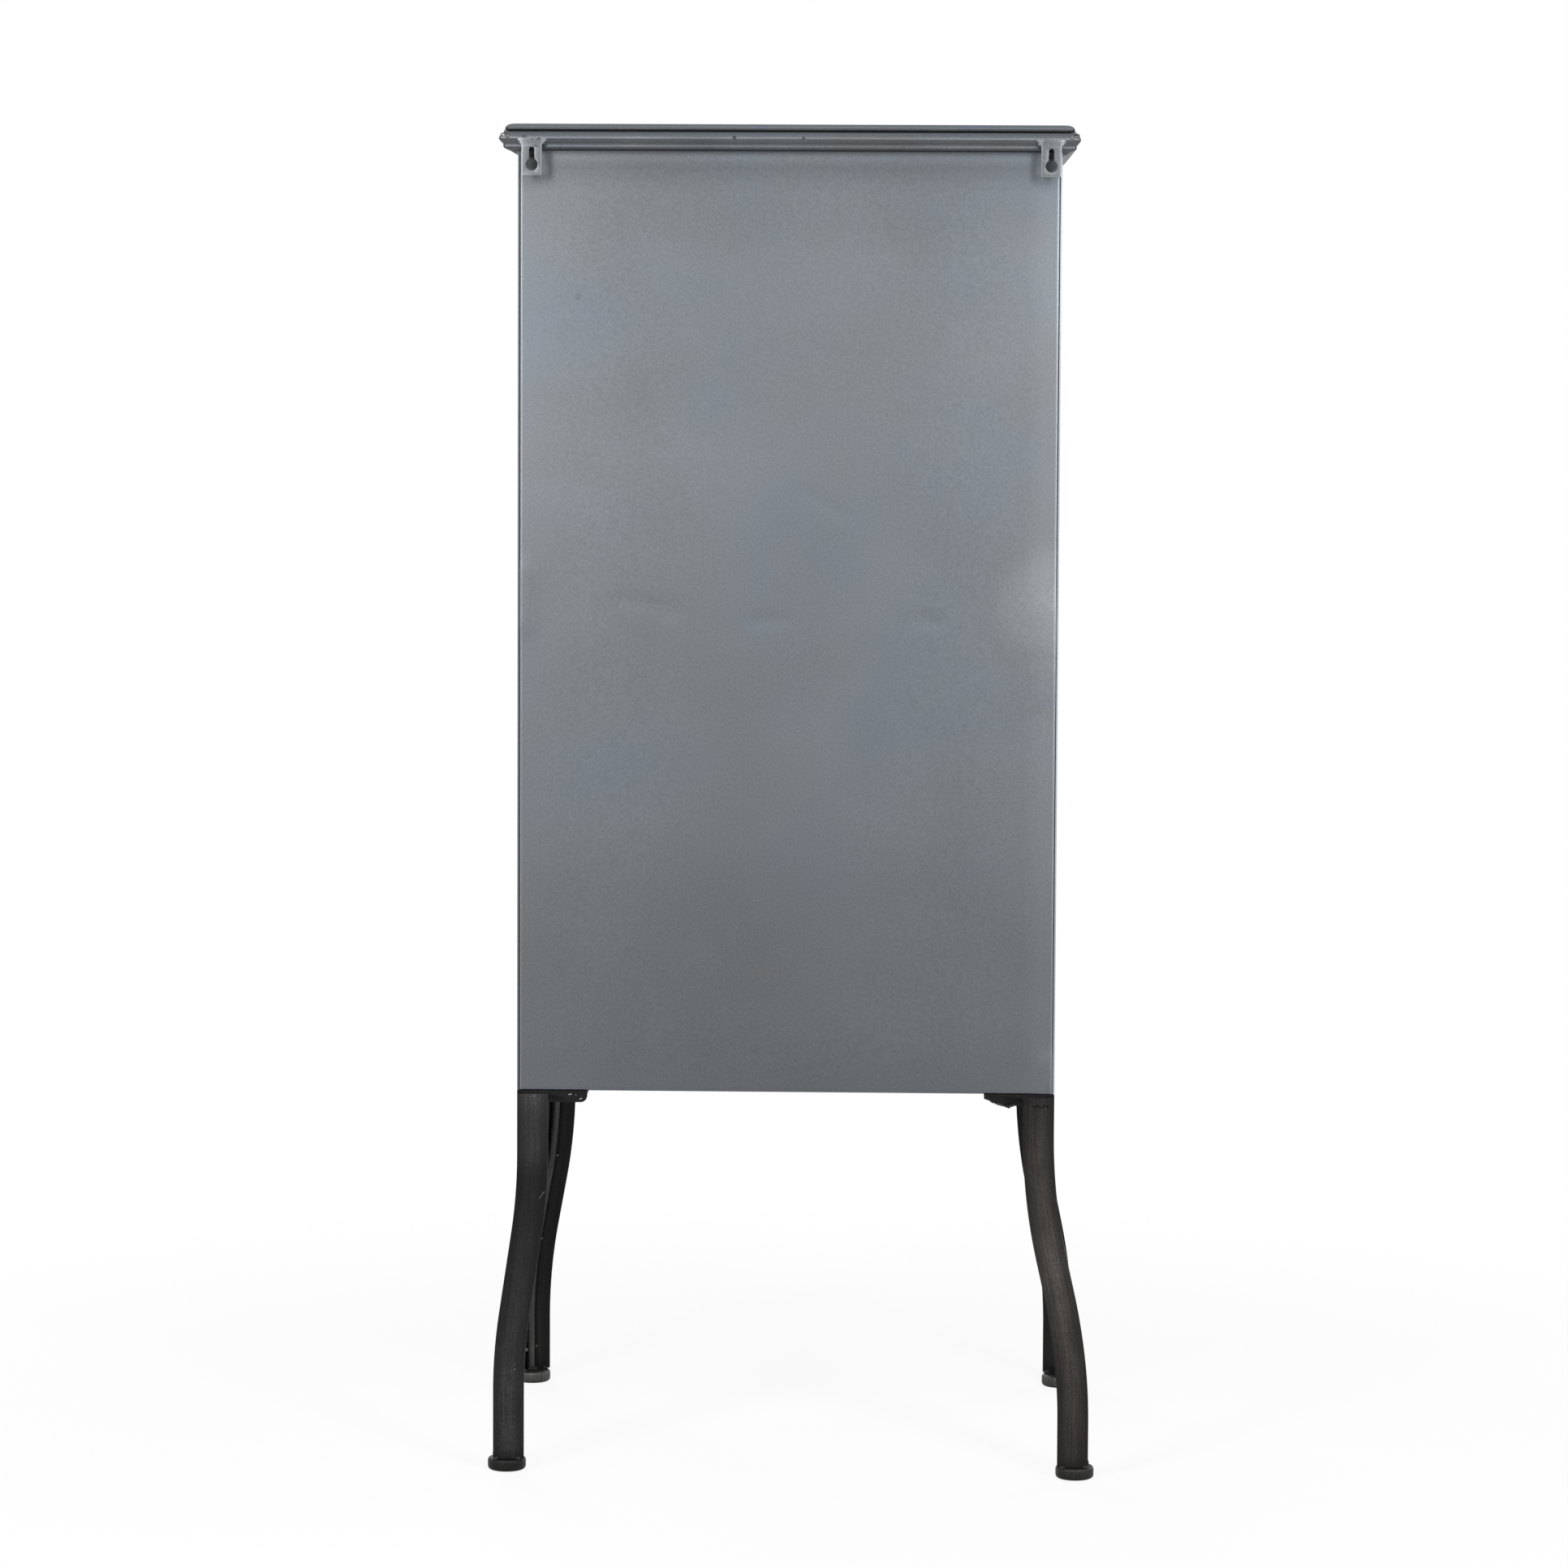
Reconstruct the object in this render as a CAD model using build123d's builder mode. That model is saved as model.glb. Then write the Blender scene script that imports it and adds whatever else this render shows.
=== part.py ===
"""Small sheet-steel drawer cabinet on four bent angle-iron legs, with two keyhole hangers at the back.

Millimetres. The drawers open towards -Y, the back panel faces +Y, +Z is up, and the origin is
on the floor below the middle of the case. Left and right are as seen from the front, so the
left side is at -X.
"""

from build123d import *
import math
import os

# ---- case, overall ----
case_width = 436.0  # outside faces of the two side panels
case_depth = 340.0  # front frame face to back panel face
cabinet_height = 1090.5  # floor to top of cornice
leg_height = 310.0  # floor to underside of case
case_sheet = 1.2  # sheet of the side, back, top and bottom panels and rails
fold_radius = 2.0  # outside radius of a folded edge

# ---- back and bottom panels ----
back_return = 12.0  # forward fold all round the back panel
bottom_flange = 12.0  # upward fold all round the bottom panel

# ---- front frame ----
stile_width = 18.0  # face of the side panel's front fold
stile_return = 15.0  # rearward fold behind the stile
rail_height = 22.0  # face of a rail between two drawers
rail_return = 12.0  # rearward folds of a rail between drawers
end_rail_return = 19.0  # rearward folds of the top and bottom rails
frame_margin = 5.0  # frame left showing above the top drawer and below the lowest

# ---- cornice, measured out from the case and down from its top ----
cornice_sheet = 1.0
cornice_cover = 12.0  # top flange lying over the top panel
cornice_rim_out = 10.8
cornice_rim_radius = 3.5
cornice_rim_height = 5.9  # top down to the groove
cornice_groove_out = 9.8
cornice_bead_out = 14.6
cornice_bead_height = 10.4
cornice_small_bead_out = 11.2
cornice_small_bead_height = 5.2
cornice_neck_out = 6.0
cornice_slope_height = 3.5  # slope back to the case below the beads, all but at the rear
cornice_edge_out = 0.6  # lower edge stands off by half its sheet

# ---- legs ----
leg_flange = 25.0  # width of each side of the angle iron
leg_wall = 4.0
leg_root_radius = 3.0
leg_toe_radius = 1.2
leg_bend_start = 85.0  # below the case, where the leg turns outwards
leg_bend_end = 212.0  # below the case, where it turns down again
leg_bend_radius = 320.0
splay_rear_right = 18.0  # outward step of each foot, in X and in Y, as the bent legs have it
splay_rear_left = 29.0
splay_front_right = 24.0
splay_front_left = 26.0
rod_diameter = 8.0  # round bar lying in the inner corner of each leg
rod_gap = 0.3
foot_diameter = 31.0
foot_height = 10.0
foot_inset = 10.5  # foot centre in from the leg's outer faces
foot_top_radius = 1.2
foot_bottom_radius = 3.0

# ---- corner brackets between case and legs ----
bracket_size = 57.0
bracket_sheet = 3.0
bracket_lip = 9.5  # depth of the lip below the case
bracket_nose = 24.0  # width left at each end by the diagonal cut
bracket_end_radius = 5.5  # rounding of each lip's lower inner end
bracket_bolt_end = 15.0  # bolt centre in from the end of the plate
bracket_bolt_in = 24.0  # bolt centre in from the outer face
bolt_diameter = 6.0
bolt_hole = 6.6
bolt_head_flats = 10.0
bolt_head_height = 4.0
bolt_nut_height = 5.0
bolt_end = 1.6  # thread left showing past the nut

# ---- keyhole hangers ----
hanger_sheet = 1.5
hanger_width = 16.2
hanger_height = 29.5
hanger_flare_width = 23.0
hanger_flare_height = 6.2
hanger_corner = 1.0
hanger_gap = 0.05  # between the plate and the cornice's main bead
hanger_inset_right = 12.2  # hanger centre in from the case's side
hanger_inset_left = 9.2
hanger_drop = 12.2  # top of the plate below the top of the cornice
keyhole_radius = 4.85
keyhole_rise = 8.5  # round hole's centre above the plate's lower edge
keyslot_width = 4.3
keyslot_top = 22.7  # top of the slot above the plate's lower edge

# ---- drawers ----
drawer_count = 6
drawer_hold = 78.8  # length of an open tray left behind the frame's face
front_gap = 3.0  # between two drawer fronts
front_overlap = 12.0  # drawer front over the stile
front_depth = 14.0
front_stand_off = 0.3  # closed drawer front to front frame
front_corner = 3.0
drawer_sheet = 1.0
tray_edge = 16.625  # tray's top edge above the pull's screws
tray_clearance = 3.5  # tray to stile, each side
tray_lift = 2.0  # tray above the rail
tray_fold = 3.0
tray_back_gap = 20.0  # closed tray to back panel
tray_back_rise = 10.0  # back wall above the side walls

# ---- runners and drawer stops ----
runner_sheet = 1.2
runner_fold = 2.0
runner_web = 20.0  # height of the guiding web
runner_shelf = 12.0  # shelf under the tray
runner_lip = 12.0  # fold welded to the side panel
runner_end_gap = 0.4
guide_gap = 0.5  # tray to web
slide_gap = 0.3  # tray to shelf
stop_sheet = 2.0
stop_width = 12.0
stop_height = 12.0  # upward fold welded to the side panel
stop_reach = 12.0  # over the tray's side wall
stop_rise = 4.0  # above the tray's side wall
stop_gap = 0.5  # to the back wall of the open tray

# ---- drawer pull with label frame ----
pull_width = 80.0
pull_height = 60.0
pull_plate = 1.6
pull_corner = 4.0
window_inset = 15.0  # window in from each end of the plate
window_height = 18.0
window_rise = 14.0  # window centre above the pull's centre
card_margin = 2.0  # card past the window on each side
card_gap = 1.0  # card to the edge of its pocket
card_sheet = 0.4
card_pocket = 0.7
hood_inset = 8.0  # hood in from each end of the plate
hood_radius = 18.0
hood_sheet = 1.4
hood_corner = 5.0
hood_drop = 24.0  # lower edge of the hood below the pull's centre
screw_inset = 7.0  # screw centre in from each end of the plate
screw_diameter = 3.0
screw_hole = 3.4
screw_head_diameter = 7.0
screw_head_height = 2.1
screw_head_radius = 1.1
screw_nut_flats = 5.5
screw_nut_height = 2.4
screw_end = 1.2  # thread left showing past the nut

# ---- worked out from the above ----
half_width = case_width / 2
half_depth = case_depth / 2
inside_half_width = half_width - case_sheet
back_inside = half_depth - case_sheet
cornice_height = (
    cornice_rim_height + cornice_bead_height + cornice_small_bead_height + cornice_slope_height
)
panel_top = cabinet_height - cornice_sheet - case_sheet
opening_half_width = half_width - stile_width
behind_stile = stile_return - half_depth + runner_end_gap
fronts_bottom = leg_height + frame_margin
fronts_top = cabinet_height - cornice_height - frame_margin
drawer_pitch = (fronts_top - fronts_bottom + front_gap) / drawer_count
front_height = drawer_pitch - front_gap
front_half_width = opening_half_width + front_overlap
front_back_y = -half_depth - front_stand_off
front_face_y = front_back_y - front_depth
tray_half_width = opening_half_width - tray_clearance
tray_front_y = front_face_y + drawer_sheet
tray_back_y = back_inside - tray_back_gap
drawer_travel = tray_back_y + half_depth - drawer_hold
bracket_bottom = leg_height - bracket_sheet
bracket_bolt_along = bracket_size - bracket_bolt_end
window_centre_z = front_height / 2 + window_rise
window_width = pull_width - 2 * window_inset
hood_width = pull_width - 2 * hood_inset
tray_height = window_centre_z + tray_edge - (rail_height - front_gap) / 2 - tray_lift


def bay_floor(level):
    """Height of the top of the rail below a drawer, the lowest drawer being level 0."""
    return fronts_bottom + level * drawer_pitch - front_gap / 2 + rail_height / 2


def front_bottom(level):
    """Height of the lower edge of a drawer front."""
    return fronts_bottom + level * drawer_pitch


def folded_strip(plane, points, side, thickness, radius, length):
    """Sheet folded along points in the plane, half its length to each side of the plane."""
    with BuildPart() as strip:
        with BuildSketch(plane):
            with BuildLine():
                FilletPolyline(*points, radius=radius)
                offset(amount=thickness, side=side)
            make_face()
        extrude(amount=length / 2, both=True)
    return strip.part


def save(part, name):
    """Label a finished piece and write it to its own file."""
    part.label = name
    export_step(part, f"parts/{name}.step")


# ---- case ----
def make_side_panel(hand):
    """Side sheet with its front edge folded round into a stile and back again."""
    mid_height = (leg_height + panel_top) / 2
    edge = hand * half_width
    stile_edge = hand * opening_half_width
    points = [
        (edge, half_depth),
        (edge, -half_depth),
        (stile_edge, -half_depth),
        (stile_edge, -half_depth + stile_return),
    ]
    side = Side.RIGHT if hand > 0 else Side.LEFT
    plane = Plane.XY.offset(mid_height)
    return folded_strip(plane, points, side, case_sheet, fold_radius, panel_top - leg_height)


def make_back_panel():
    """Back sheet folded forward all round, lying between the side panels."""
    with BuildPart() as back:
        with BuildSketch(Plane.XZ.offset(-half_depth)):
            with Locations((0, (leg_height + panel_top) / 2)):
                Rectangle(2 * inside_half_width, panel_top - leg_height)
        extrude(amount=back_return)
        fillet(back.faces().sort_by(Axis.Y)[-1].edges(), fold_radius)
        offset(amount=-case_sheet, openings=back.faces().sort_by(Axis.Y)[0])
    return back.part


def make_bottom_panel():
    """Floor pan of the case, folded up all round, lying on the bottom rail and the back's fold."""
    depth = back_inside - behind_stile
    with BuildPart() as bottom:
        with BuildSketch(Plane.XY.offset(leg_height + case_sheet)):
            with Locations((0, behind_stile + depth / 2)):
                Rectangle(2 * (inside_half_width - case_sheet), depth)
        extrude(amount=bottom_flange)
        fillet(bottom.edges().filter_by(Axis.Z), fold_radius)
        fillet(bottom.faces().sort_by(Axis.Z)[0].edges(), fold_radius)
        offset(amount=-case_sheet, openings=bottom.faces().sort_by(Axis.Z)[-1])
        with BuildSketch(Plane.XY.offset(leg_height)):
            for x, y in bolt_places():
                with Locations((x, y)):
                    Circle(bolt_hole / 2)
        extrude(amount=bottom_flange, mode=Mode.SUBTRACT)
    return bottom.part


def make_top_panel():
    """Flat sheet that closes the case under the cornice's top flange."""
    with BuildPart() as top:
        with BuildSketch(Plane.XY.offset(panel_top)):
            Rectangle(case_width, case_depth)
        extrude(amount=case_sheet)
    return top.part


def make_rail(low, high, depth):
    """Front rail, a channel open to the back."""
    points = [
        (-half_depth + depth, high),
        (-half_depth, high),
        (-half_depth, low),
        (-half_depth + depth, low),
    ]
    return folded_strip(
        Plane.YZ, points, Side.LEFT, case_sheet, fold_radius, 2 * opening_half_width
    )


# ---- cornice ----
def make_cornice(outward, across, wall, run, slope_height):
    """One side of the pressed cornice, mitred at both ends, on the wall that faces outward."""
    groove_z = -cornice_rim_height
    bead_z = groove_z - cornice_bead_height
    neck_z = bead_z - cornice_small_bead_height
    plane = Plane(
        origin=(outward * wall) + Vector(0, 0, cabinet_height), x_dir=outward, z_dir=across
    )
    rim_turn = cornice_rim_radius * (1 - 0.5**0.5)
    with BuildPart() as cornice:
        with BuildSketch(plane):
            with BuildLine():
                Line((-cornice_cover, 0), (cornice_rim_out - cornice_rim_radius, 0))
                ThreePointArc(
                    (cornice_rim_out - cornice_rim_radius, 0),
                    (cornice_rim_out - rim_turn, -rim_turn),
                    (cornice_rim_out, -cornice_rim_radius),
                )
                Line((cornice_rim_out, -cornice_rim_radius), (cornice_groove_out, groove_z))
                ThreePointArc(
                    (cornice_groove_out, groove_z),
                    (cornice_bead_out, groove_z - cornice_bead_height / 2),
                    (cornice_groove_out, bead_z),
                )
                ThreePointArc(
                    (cornice_groove_out, bead_z),
                    (cornice_small_bead_out, bead_z - cornice_small_bead_height / 2),
                    (cornice_neck_out, neck_z),
                )
                Line((cornice_neck_out, neck_z), (cornice_edge_out, neck_z - slope_height))
                offset(amount=cornice_sheet, side=Side.RIGHT)
            make_face()
        extrude(amount=run + cornice_bead_out, both=True)
        for end in (across, across * -1):
            corner = outward * wall + end * run
            split(bisect_by=Plane(origin=corner, z_dir=end - outward), keep=Keep.BOTTOM)
    return cornice.part


# ---- legs ----
def leg_corners():
    """Name, X sign, Y sign and splay of each leg."""
    return [
        ("rear_right", 1, 1, splay_rear_right),
        ("rear_left", -1, 1, splay_rear_left),
        ("front_right", 1, -1, splay_front_right),
        ("front_left", -1, -1, splay_front_left),
    ]


def leg_path(sign_x, sign_y, splay):
    """Corner points of a leg's outer edge, from the bracket down to the foot."""
    top_x = sign_x * half_width
    top_y = sign_y * half_depth
    foot_x = top_x + sign_x * splay
    foot_y = top_y + sign_y * splay
    return [
        (top_x, top_y, bracket_bottom),
        (top_x, top_y, leg_height - leg_bend_start),
        (foot_x, foot_y, leg_height - leg_bend_end),
        (foot_x, foot_y, foot_height),
    ]


def bend_radius(points):
    """Radius of a leg's two bends, as far as the straight runs beside them leave room for it."""
    top, upper, lower, foot = [Vector(point) for point in points]
    slope = lower - upper
    half_turn = math.radians(slope.get_angle(Vector(0, 0, -1)) / 2)
    room = min(0.9 * (top - upper).length, 0.9 * (lower - foot).length, 0.45 * slope.length)
    return min(leg_bend_radius, room / math.tan(half_turn))


def make_leg(sign_x, sign_y, splay):
    """Angle iron bent outwards and down again, its section level all the way."""
    points = leg_path(sign_x, sign_y, splay)
    corner_x, corner_y, top = points[0]
    far_x = corner_x - sign_x * leg_flange
    far_y = corner_y - sign_y * leg_flange
    in_x = corner_x - sign_x * leg_wall
    in_y = corner_y - sign_y * leg_wall
    with BuildPart() as leg:
        with BuildLine() as path:
            FilletPolyline(*points, radius=bend_radius(points))
        with BuildSketch(Plane.XY.offset(top)) as section:
            with BuildLine():
                Polyline(
                    (corner_x, corner_y),
                    (far_x, corner_y),
                    (far_x, in_y),
                    (in_x, in_y),
                    (in_x, far_y),
                    (corner_x, far_y),
                    close=True,
                )
            make_face()
            root = section.vertices().sort_by_distance((in_x, in_y))[0]
            fillet(root, leg_root_radius)
            toes = section.vertices().sort_by_distance((far_x, in_y))[0]
            fillet(toes, leg_toe_radius)
            toes = section.vertices().sort_by_distance((in_x, far_y))[0]
            fillet(toes, leg_toe_radius)
        sweep(path=path.line, normal=(0, 0, 1))
    return leg.part


def make_leg_rods():
    """Round bar in the inner corner of each leg, bent as the leg is."""
    inset = leg_wall + rod_gap + rod_diameter / 2
    with BuildPart() as rods:
        for _, sign_x, sign_y, splay in leg_corners():
            points = leg_path(sign_x, sign_y, splay)
            corner_x, corner_y, top = points[0]
            with BuildLine() as path:
                FilletPolyline(*points, radius=bend_radius(points))
            with BuildSketch(Plane.XY.offset(top)):
                with Locations((corner_x - sign_x * inset, corner_y - sign_y * inset)):
                    Circle(rod_diameter / 2)
            sweep(path=path.line, normal=(0, 0, 1))
    return rods.part


def make_foot(sign_x, sign_y, splay):
    """Thick round disc under a leg."""
    centre_x = sign_x * (half_width + splay - foot_inset)
    centre_y = sign_y * (half_depth + splay - foot_inset)
    with BuildPart() as foot:
        with BuildSketch(Plane.XY):
            with Locations((centre_x, centre_y)):
                Circle(foot_diameter / 2)
        extrude(amount=foot_height)
        fillet(foot.edges().group_by(Axis.Z)[0], foot_bottom_radius)
        fillet(foot.edges().group_by(Axis.Z)[-1], foot_top_radius)
    return foot.part


def bolt_places():
    """Plan position of every leg bolt, two to a bracket."""
    places = []
    for _, sign_x, sign_y, _ in leg_corners():
        for in_x, in_y in (
            (bracket_bolt_along, bracket_bolt_in),
            (bracket_bolt_in, bracket_bolt_along),
        ):
            places.append((sign_x * (half_width - in_x), sign_y * (half_depth - in_y)))
    return places


def make_corner_brackets():
    """Plate under each corner of the case, with a lip beside each flange of its leg."""
    lip_start = leg_flange + rod_gap
    lip_length = bracket_size - lip_start
    with BuildPart() as brackets:
        for _, sign_x, sign_y, _ in leg_corners():
            corner = Plane(
                origin=(sign_x * half_width, sign_y * half_depth, bracket_bottom),
                x_dir=(-sign_x, 0, 0),
                z_dir=(0, 0, sign_x * sign_y),
            )
            upward = sign_x * sign_y * bracket_sheet
            downward = upward - sign_x * sign_y * bracket_lip
            with BuildSketch(corner):
                with BuildLine():
                    Polyline(
                        (0, 0),
                        (bracket_size, 0),
                        (bracket_size, bracket_nose),
                        (bracket_nose, bracket_size),
                        (0, bracket_size),
                        close=True,
                    )
                make_face()
            extrude(amount=upward)
            with BuildSketch(corner):
                with Locations((lip_start + lip_length / 2, bracket_sheet / 2)):
                    Rectangle(lip_length, bracket_sheet)
                with Locations((bracket_sheet / 2, lip_start + lip_length / 2)):
                    Rectangle(bracket_sheet, lip_length)
            extrude(amount=downward)
        lowest = brackets.faces().group_by(Axis.Z)[0]
        inner_ends = [
            lip.edges().sort_by(lambda edge: abs(edge.center().X) + abs(edge.center().Y))[0]
            for lip in lowest
        ]
        fillet(inner_ends, bracket_end_radius)
        with BuildSketch(Plane.XY.offset(bracket_bottom)):
            for x, y in bolt_places():
                with Locations((x, y)):
                    Circle(bolt_hole / 2)
        extrude(amount=bracket_sheet, mode=Mode.SUBTRACT)
    return brackets.part


def make_leg_bolts():
    """Hexagon-head bolts up through the brackets and the bottom panel."""
    shank = bracket_sheet + 2 * case_sheet + bolt_nut_height + bolt_end
    with BuildPart() as bolts:
        for x, y in bolt_places():
            with BuildSketch(Plane.XY.offset(bracket_bottom - bolt_head_height)):
                with Locations((x, y)):
                    RegularPolygon(bolt_head_flats / 2, 6, major_radius=False)
            extrude(amount=bolt_head_height)
            with BuildSketch(Plane.XY.offset(bracket_bottom)):
                with Locations((x, y)):
                    Circle(bolt_diameter / 2)
            extrude(amount=shank)
    return bolts.part


def make_leg_nuts():
    """Nuts of the leg bolts, on the floor of the case."""
    with BuildPart() as nuts:
        for x, y in bolt_places():
            with BuildSketch(Plane.XY.offset(leg_height + 2 * case_sheet)):
                with Locations((x, y)):
                    RegularPolygon(bolt_head_flats / 2, 6, major_radius=False)
                    Circle((bolt_diameter + rod_gap) / 2, mode=Mode.SUBTRACT)
            extrude(amount=bolt_nut_height)
    return nuts.part


# ---- hangers ----
def make_hanger(centre_x):
    """Keyhole plate with a flared top, standing on the cornice's main bead."""
    low = cabinet_height - hanger_drop - hanger_height
    shoulder = hanger_height - hanger_flare_height
    face = half_depth + cornice_bead_out + hanger_gap
    plane = Plane(origin=(centre_x, face, low), x_dir=(-1, 0, 0), z_dir=(0, 1, 0))
    with BuildPart() as hanger:
        with BuildSketch(plane) as outline:
            with BuildLine():
                Polyline(
                    (-hanger_width / 2, 0),
                    (hanger_width / 2, 0),
                    (hanger_width / 2, shoulder),
                    (hanger_flare_width / 2, hanger_height),
                    (-hanger_flare_width / 2, hanger_height),
                    (-hanger_width / 2, shoulder),
                    close=True,
                )
            make_face()
            fillet(outline.vertices().group_by(Axis.Y)[0], hanger_corner)
            with Locations((0, keyhole_rise)):
                Circle(keyhole_radius, mode=Mode.SUBTRACT)
            slot_length = keyslot_top - keyslot_width / 2 - keyhole_rise
            with Locations((0, keyhole_rise + slot_length / 2)):
                Rectangle(keyslot_width, slot_length, mode=Mode.SUBTRACT)
            with Locations((0, keyhole_rise + slot_length)):
                Circle(keyslot_width / 2, mode=Mode.SUBTRACT)
        extrude(amount=hanger_sheet)
    return hanger.part


# ---- runners and stops ----
def make_runners(hand):
    """One runner to a drawer: lip on the side panel, guiding web, and shelf under the tray."""
    guide = tray_half_width + guide_gap
    start = behind_stile
    end = half_depth - back_return - runner_end_gap
    with BuildPart() as runners:
        for level in range(drawer_count):
            shelf = bay_floor(level) + tray_lift - slide_gap
            points = [
                (hand * inside_half_width, shelf + runner_web - runner_lip),
                (hand * inside_half_width, shelf + runner_web),
                (hand * guide, shelf + runner_web),
                (hand * guide, shelf),
                (hand * (guide - runner_shelf), shelf),
            ]
            side = Side.LEFT if hand > 0 else Side.RIGHT
            plane = Plane.XZ.offset(-(start + end) / 2)
            add(folded_strip(plane, points, side, runner_sheet, runner_fold, end - start))
    return runners.part


def make_drawer_stops():
    """Tab on each side panel that the risen back wall of an open tray meets."""
    stop_end = tray_back_y - drawer_sheet - drawer_travel - stop_gap
    reach = tray_half_width - stop_reach
    with BuildPart() as stops:
        for level in range(drawer_count):
            low = bay_floor(level) + tray_lift + tray_height + stop_rise
            for hand in (1, -1):
                points = [
                    (hand * inside_half_width, low + stop_height),
                    (hand * inside_half_width, low),
                    (hand * reach, low),
                ]
                side = Side.RIGHT if hand > 0 else Side.LEFT
                plane = Plane.XZ.offset(-(stop_end - stop_width / 2))
                add(folded_strip(plane, points, side, stop_sheet, 1.5 * stop_sheet, stop_width))
    return stops.part


# ---- drawers ----
def screw_places():
    """X of the two pull screws."""
    return (screw_inset - pull_width / 2, pull_width / 2 - screw_inset)


def screw_drill(height, start_y, depth):
    """The two round cores that a sheet loses to the pull screws."""
    with BuildPart() as cores:
        with BuildSketch(Plane.XZ.offset(-start_y)):
            for x in screw_places():
                with Locations((x, height)):
                    Circle(screw_hole / 2)
        extrude(amount=-depth)
    return cores.part


def make_tray(level):
    """Folded drawer tray with a back wall that rises to meet the stops."""
    floor = bay_floor(level) + tray_lift
    depth = tray_back_y - tray_front_y
    with BuildPart() as tray:
        with BuildSketch(Plane.XY.offset(floor)):
            with Locations((0, tray_front_y + depth / 2)):
                Rectangle(2 * tray_half_width, depth)
        extrude(amount=tray_height)
        fillet(tray.edges().filter_by(Axis.Z), tray_fold)
        fillet(tray.faces().sort_by(Axis.Z)[0].edges(), tray_fold)
        offset(amount=-drawer_sheet, openings=tray.faces().sort_by(Axis.Z)[-1])
        with BuildSketch(Plane.XY.offset(floor + tray_height)):
            with Locations((0, tray_back_y - drawer_sheet / 2)):
                Rectangle(2 * (tray_half_width - tray_fold), drawer_sheet)
        extrude(amount=tray_back_rise)
        cores = screw_drill(front_bottom(level) + window_centre_z, tray_front_y, drawer_sheet)
        add(cores, mode=Mode.SUBTRACT)
    return tray.part


def make_front(level):
    """Pan-shaped drawer front with rounded edges, open to the back."""
    low = front_bottom(level)
    with BuildPart() as front:
        with BuildSketch(Plane.XZ.offset(-front_back_y)):
            with Locations((0, low + front_height / 2)):
                Rectangle(2 * front_half_width, front_height)
        extrude(amount=front_depth)
        fillet(front.edges().filter_by(Axis.Y), front_corner)
        fillet(front.faces().sort_by(Axis.Y)[0].edges(), front_corner)
        offset(amount=-drawer_sheet, openings=front.faces().sort_by(Axis.Y)[-1])
        cores = screw_drill(low + window_centre_z, front_face_y, drawer_sheet)
        add(cores, mode=Mode.SUBTRACT)
    return front.part


def make_pull(level):
    """Plate with a label window above and a hooded finger grip below."""
    centre = front_bottom(level) + front_height / 2
    window = centre + window_rise
    hood_low = centre - hood_drop
    face = front_face_y - pull_plate
    with BuildPart() as pull:
        with BuildSketch(Plane.YZ):
            with BuildLine():
                Line((front_face_y, hood_low), (face - hood_radius, hood_low))
                Line((front_face_y, hood_low), (front_face_y, hood_low + hood_radius))
                Line((front_face_y, hood_low + hood_radius), (face, hood_low + hood_radius))
                RadiusArc(
                    (face, hood_low + hood_radius), (face - hood_radius, hood_low), -hood_radius
                )
            make_face()
        extrude(amount=hood_width / 2, both=True)
        ends = pull.faces().sort_by(Axis.X)
        arcs = (ends[0].edges() + ends[-1].edges()).filter_by(GeomType.CIRCLE)
        fillet(arcs, hood_corner)
        open_faces = [pull.faces().sort_by(Axis.Z)[0], pull.faces().sort_by(Axis.Y)[-1]]
        offset(amount=-hood_sheet, openings=open_faces)
        with BuildSketch(Plane.XZ.offset(-front_face_y)) as plate:
            with Locations((0, centre)):
                RectangleRounded(pull_width, pull_height, pull_corner)
            with Locations((0, window)):
                Rectangle(window_width, window_height, mode=Mode.SUBTRACT)
        extrude(amount=pull_plate)
        with BuildSketch(Plane.XZ.offset(-front_face_y)):
            with Locations((0, window)):
                Rectangle(
                    window_width + 2 * (card_margin + card_gap),
                    window_height + 2 * (card_margin + card_gap),
                )
        extrude(amount=card_pocket, mode=Mode.SUBTRACT)
        add(screw_drill(window, face, pull_plate), mode=Mode.SUBTRACT)
    return pull.part


def make_card(level):
    """Blank paper card behind the window."""
    window = front_bottom(level) + window_centre_z
    with BuildPart() as card:
        with BuildSketch(Plane.XZ.offset(-front_face_y)):
            with Locations((0, window)):
                Rectangle(window_width + 2 * card_margin, window_height + 2 * card_margin)
        extrude(amount=card_sheet)
    return card.part


def make_fixings(level):
    """Two round-head screws through pull, front and tray, each with its nut."""
    height = front_bottom(level) + window_centre_z
    under_head = front_face_y - pull_plate
    nut_face = tray_front_y + drawer_sheet
    shank = nut_face + screw_nut_height + screw_end - under_head
    with BuildPart() as fixings:
        with BuildSketch(Plane.XZ.offset(-under_head)):
            for x in screw_places():
                with Locations((x, height)):
                    Circle(screw_head_diameter / 2)
        extrude(amount=screw_head_height)
        rims = fixings.faces().group_by(Axis.Y)[0].edges()
        fillet(rims, screw_head_radius)
        with BuildSketch(Plane.XZ.offset(-under_head)):
            for x in screw_places():
                with Locations((x, height)):
                    Circle(screw_diameter / 2)
        extrude(amount=-shank)
        with BuildSketch(Plane.XZ.offset(-nut_face)):
            for x in screw_places():
                with Locations((x, height)):
                    RegularPolygon(screw_nut_flats / 2, 6, major_radius=False)
        extrude(amount=-screw_nut_height)
    return fixings.part


os.makedirs("parts", exist_ok=True)

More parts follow.
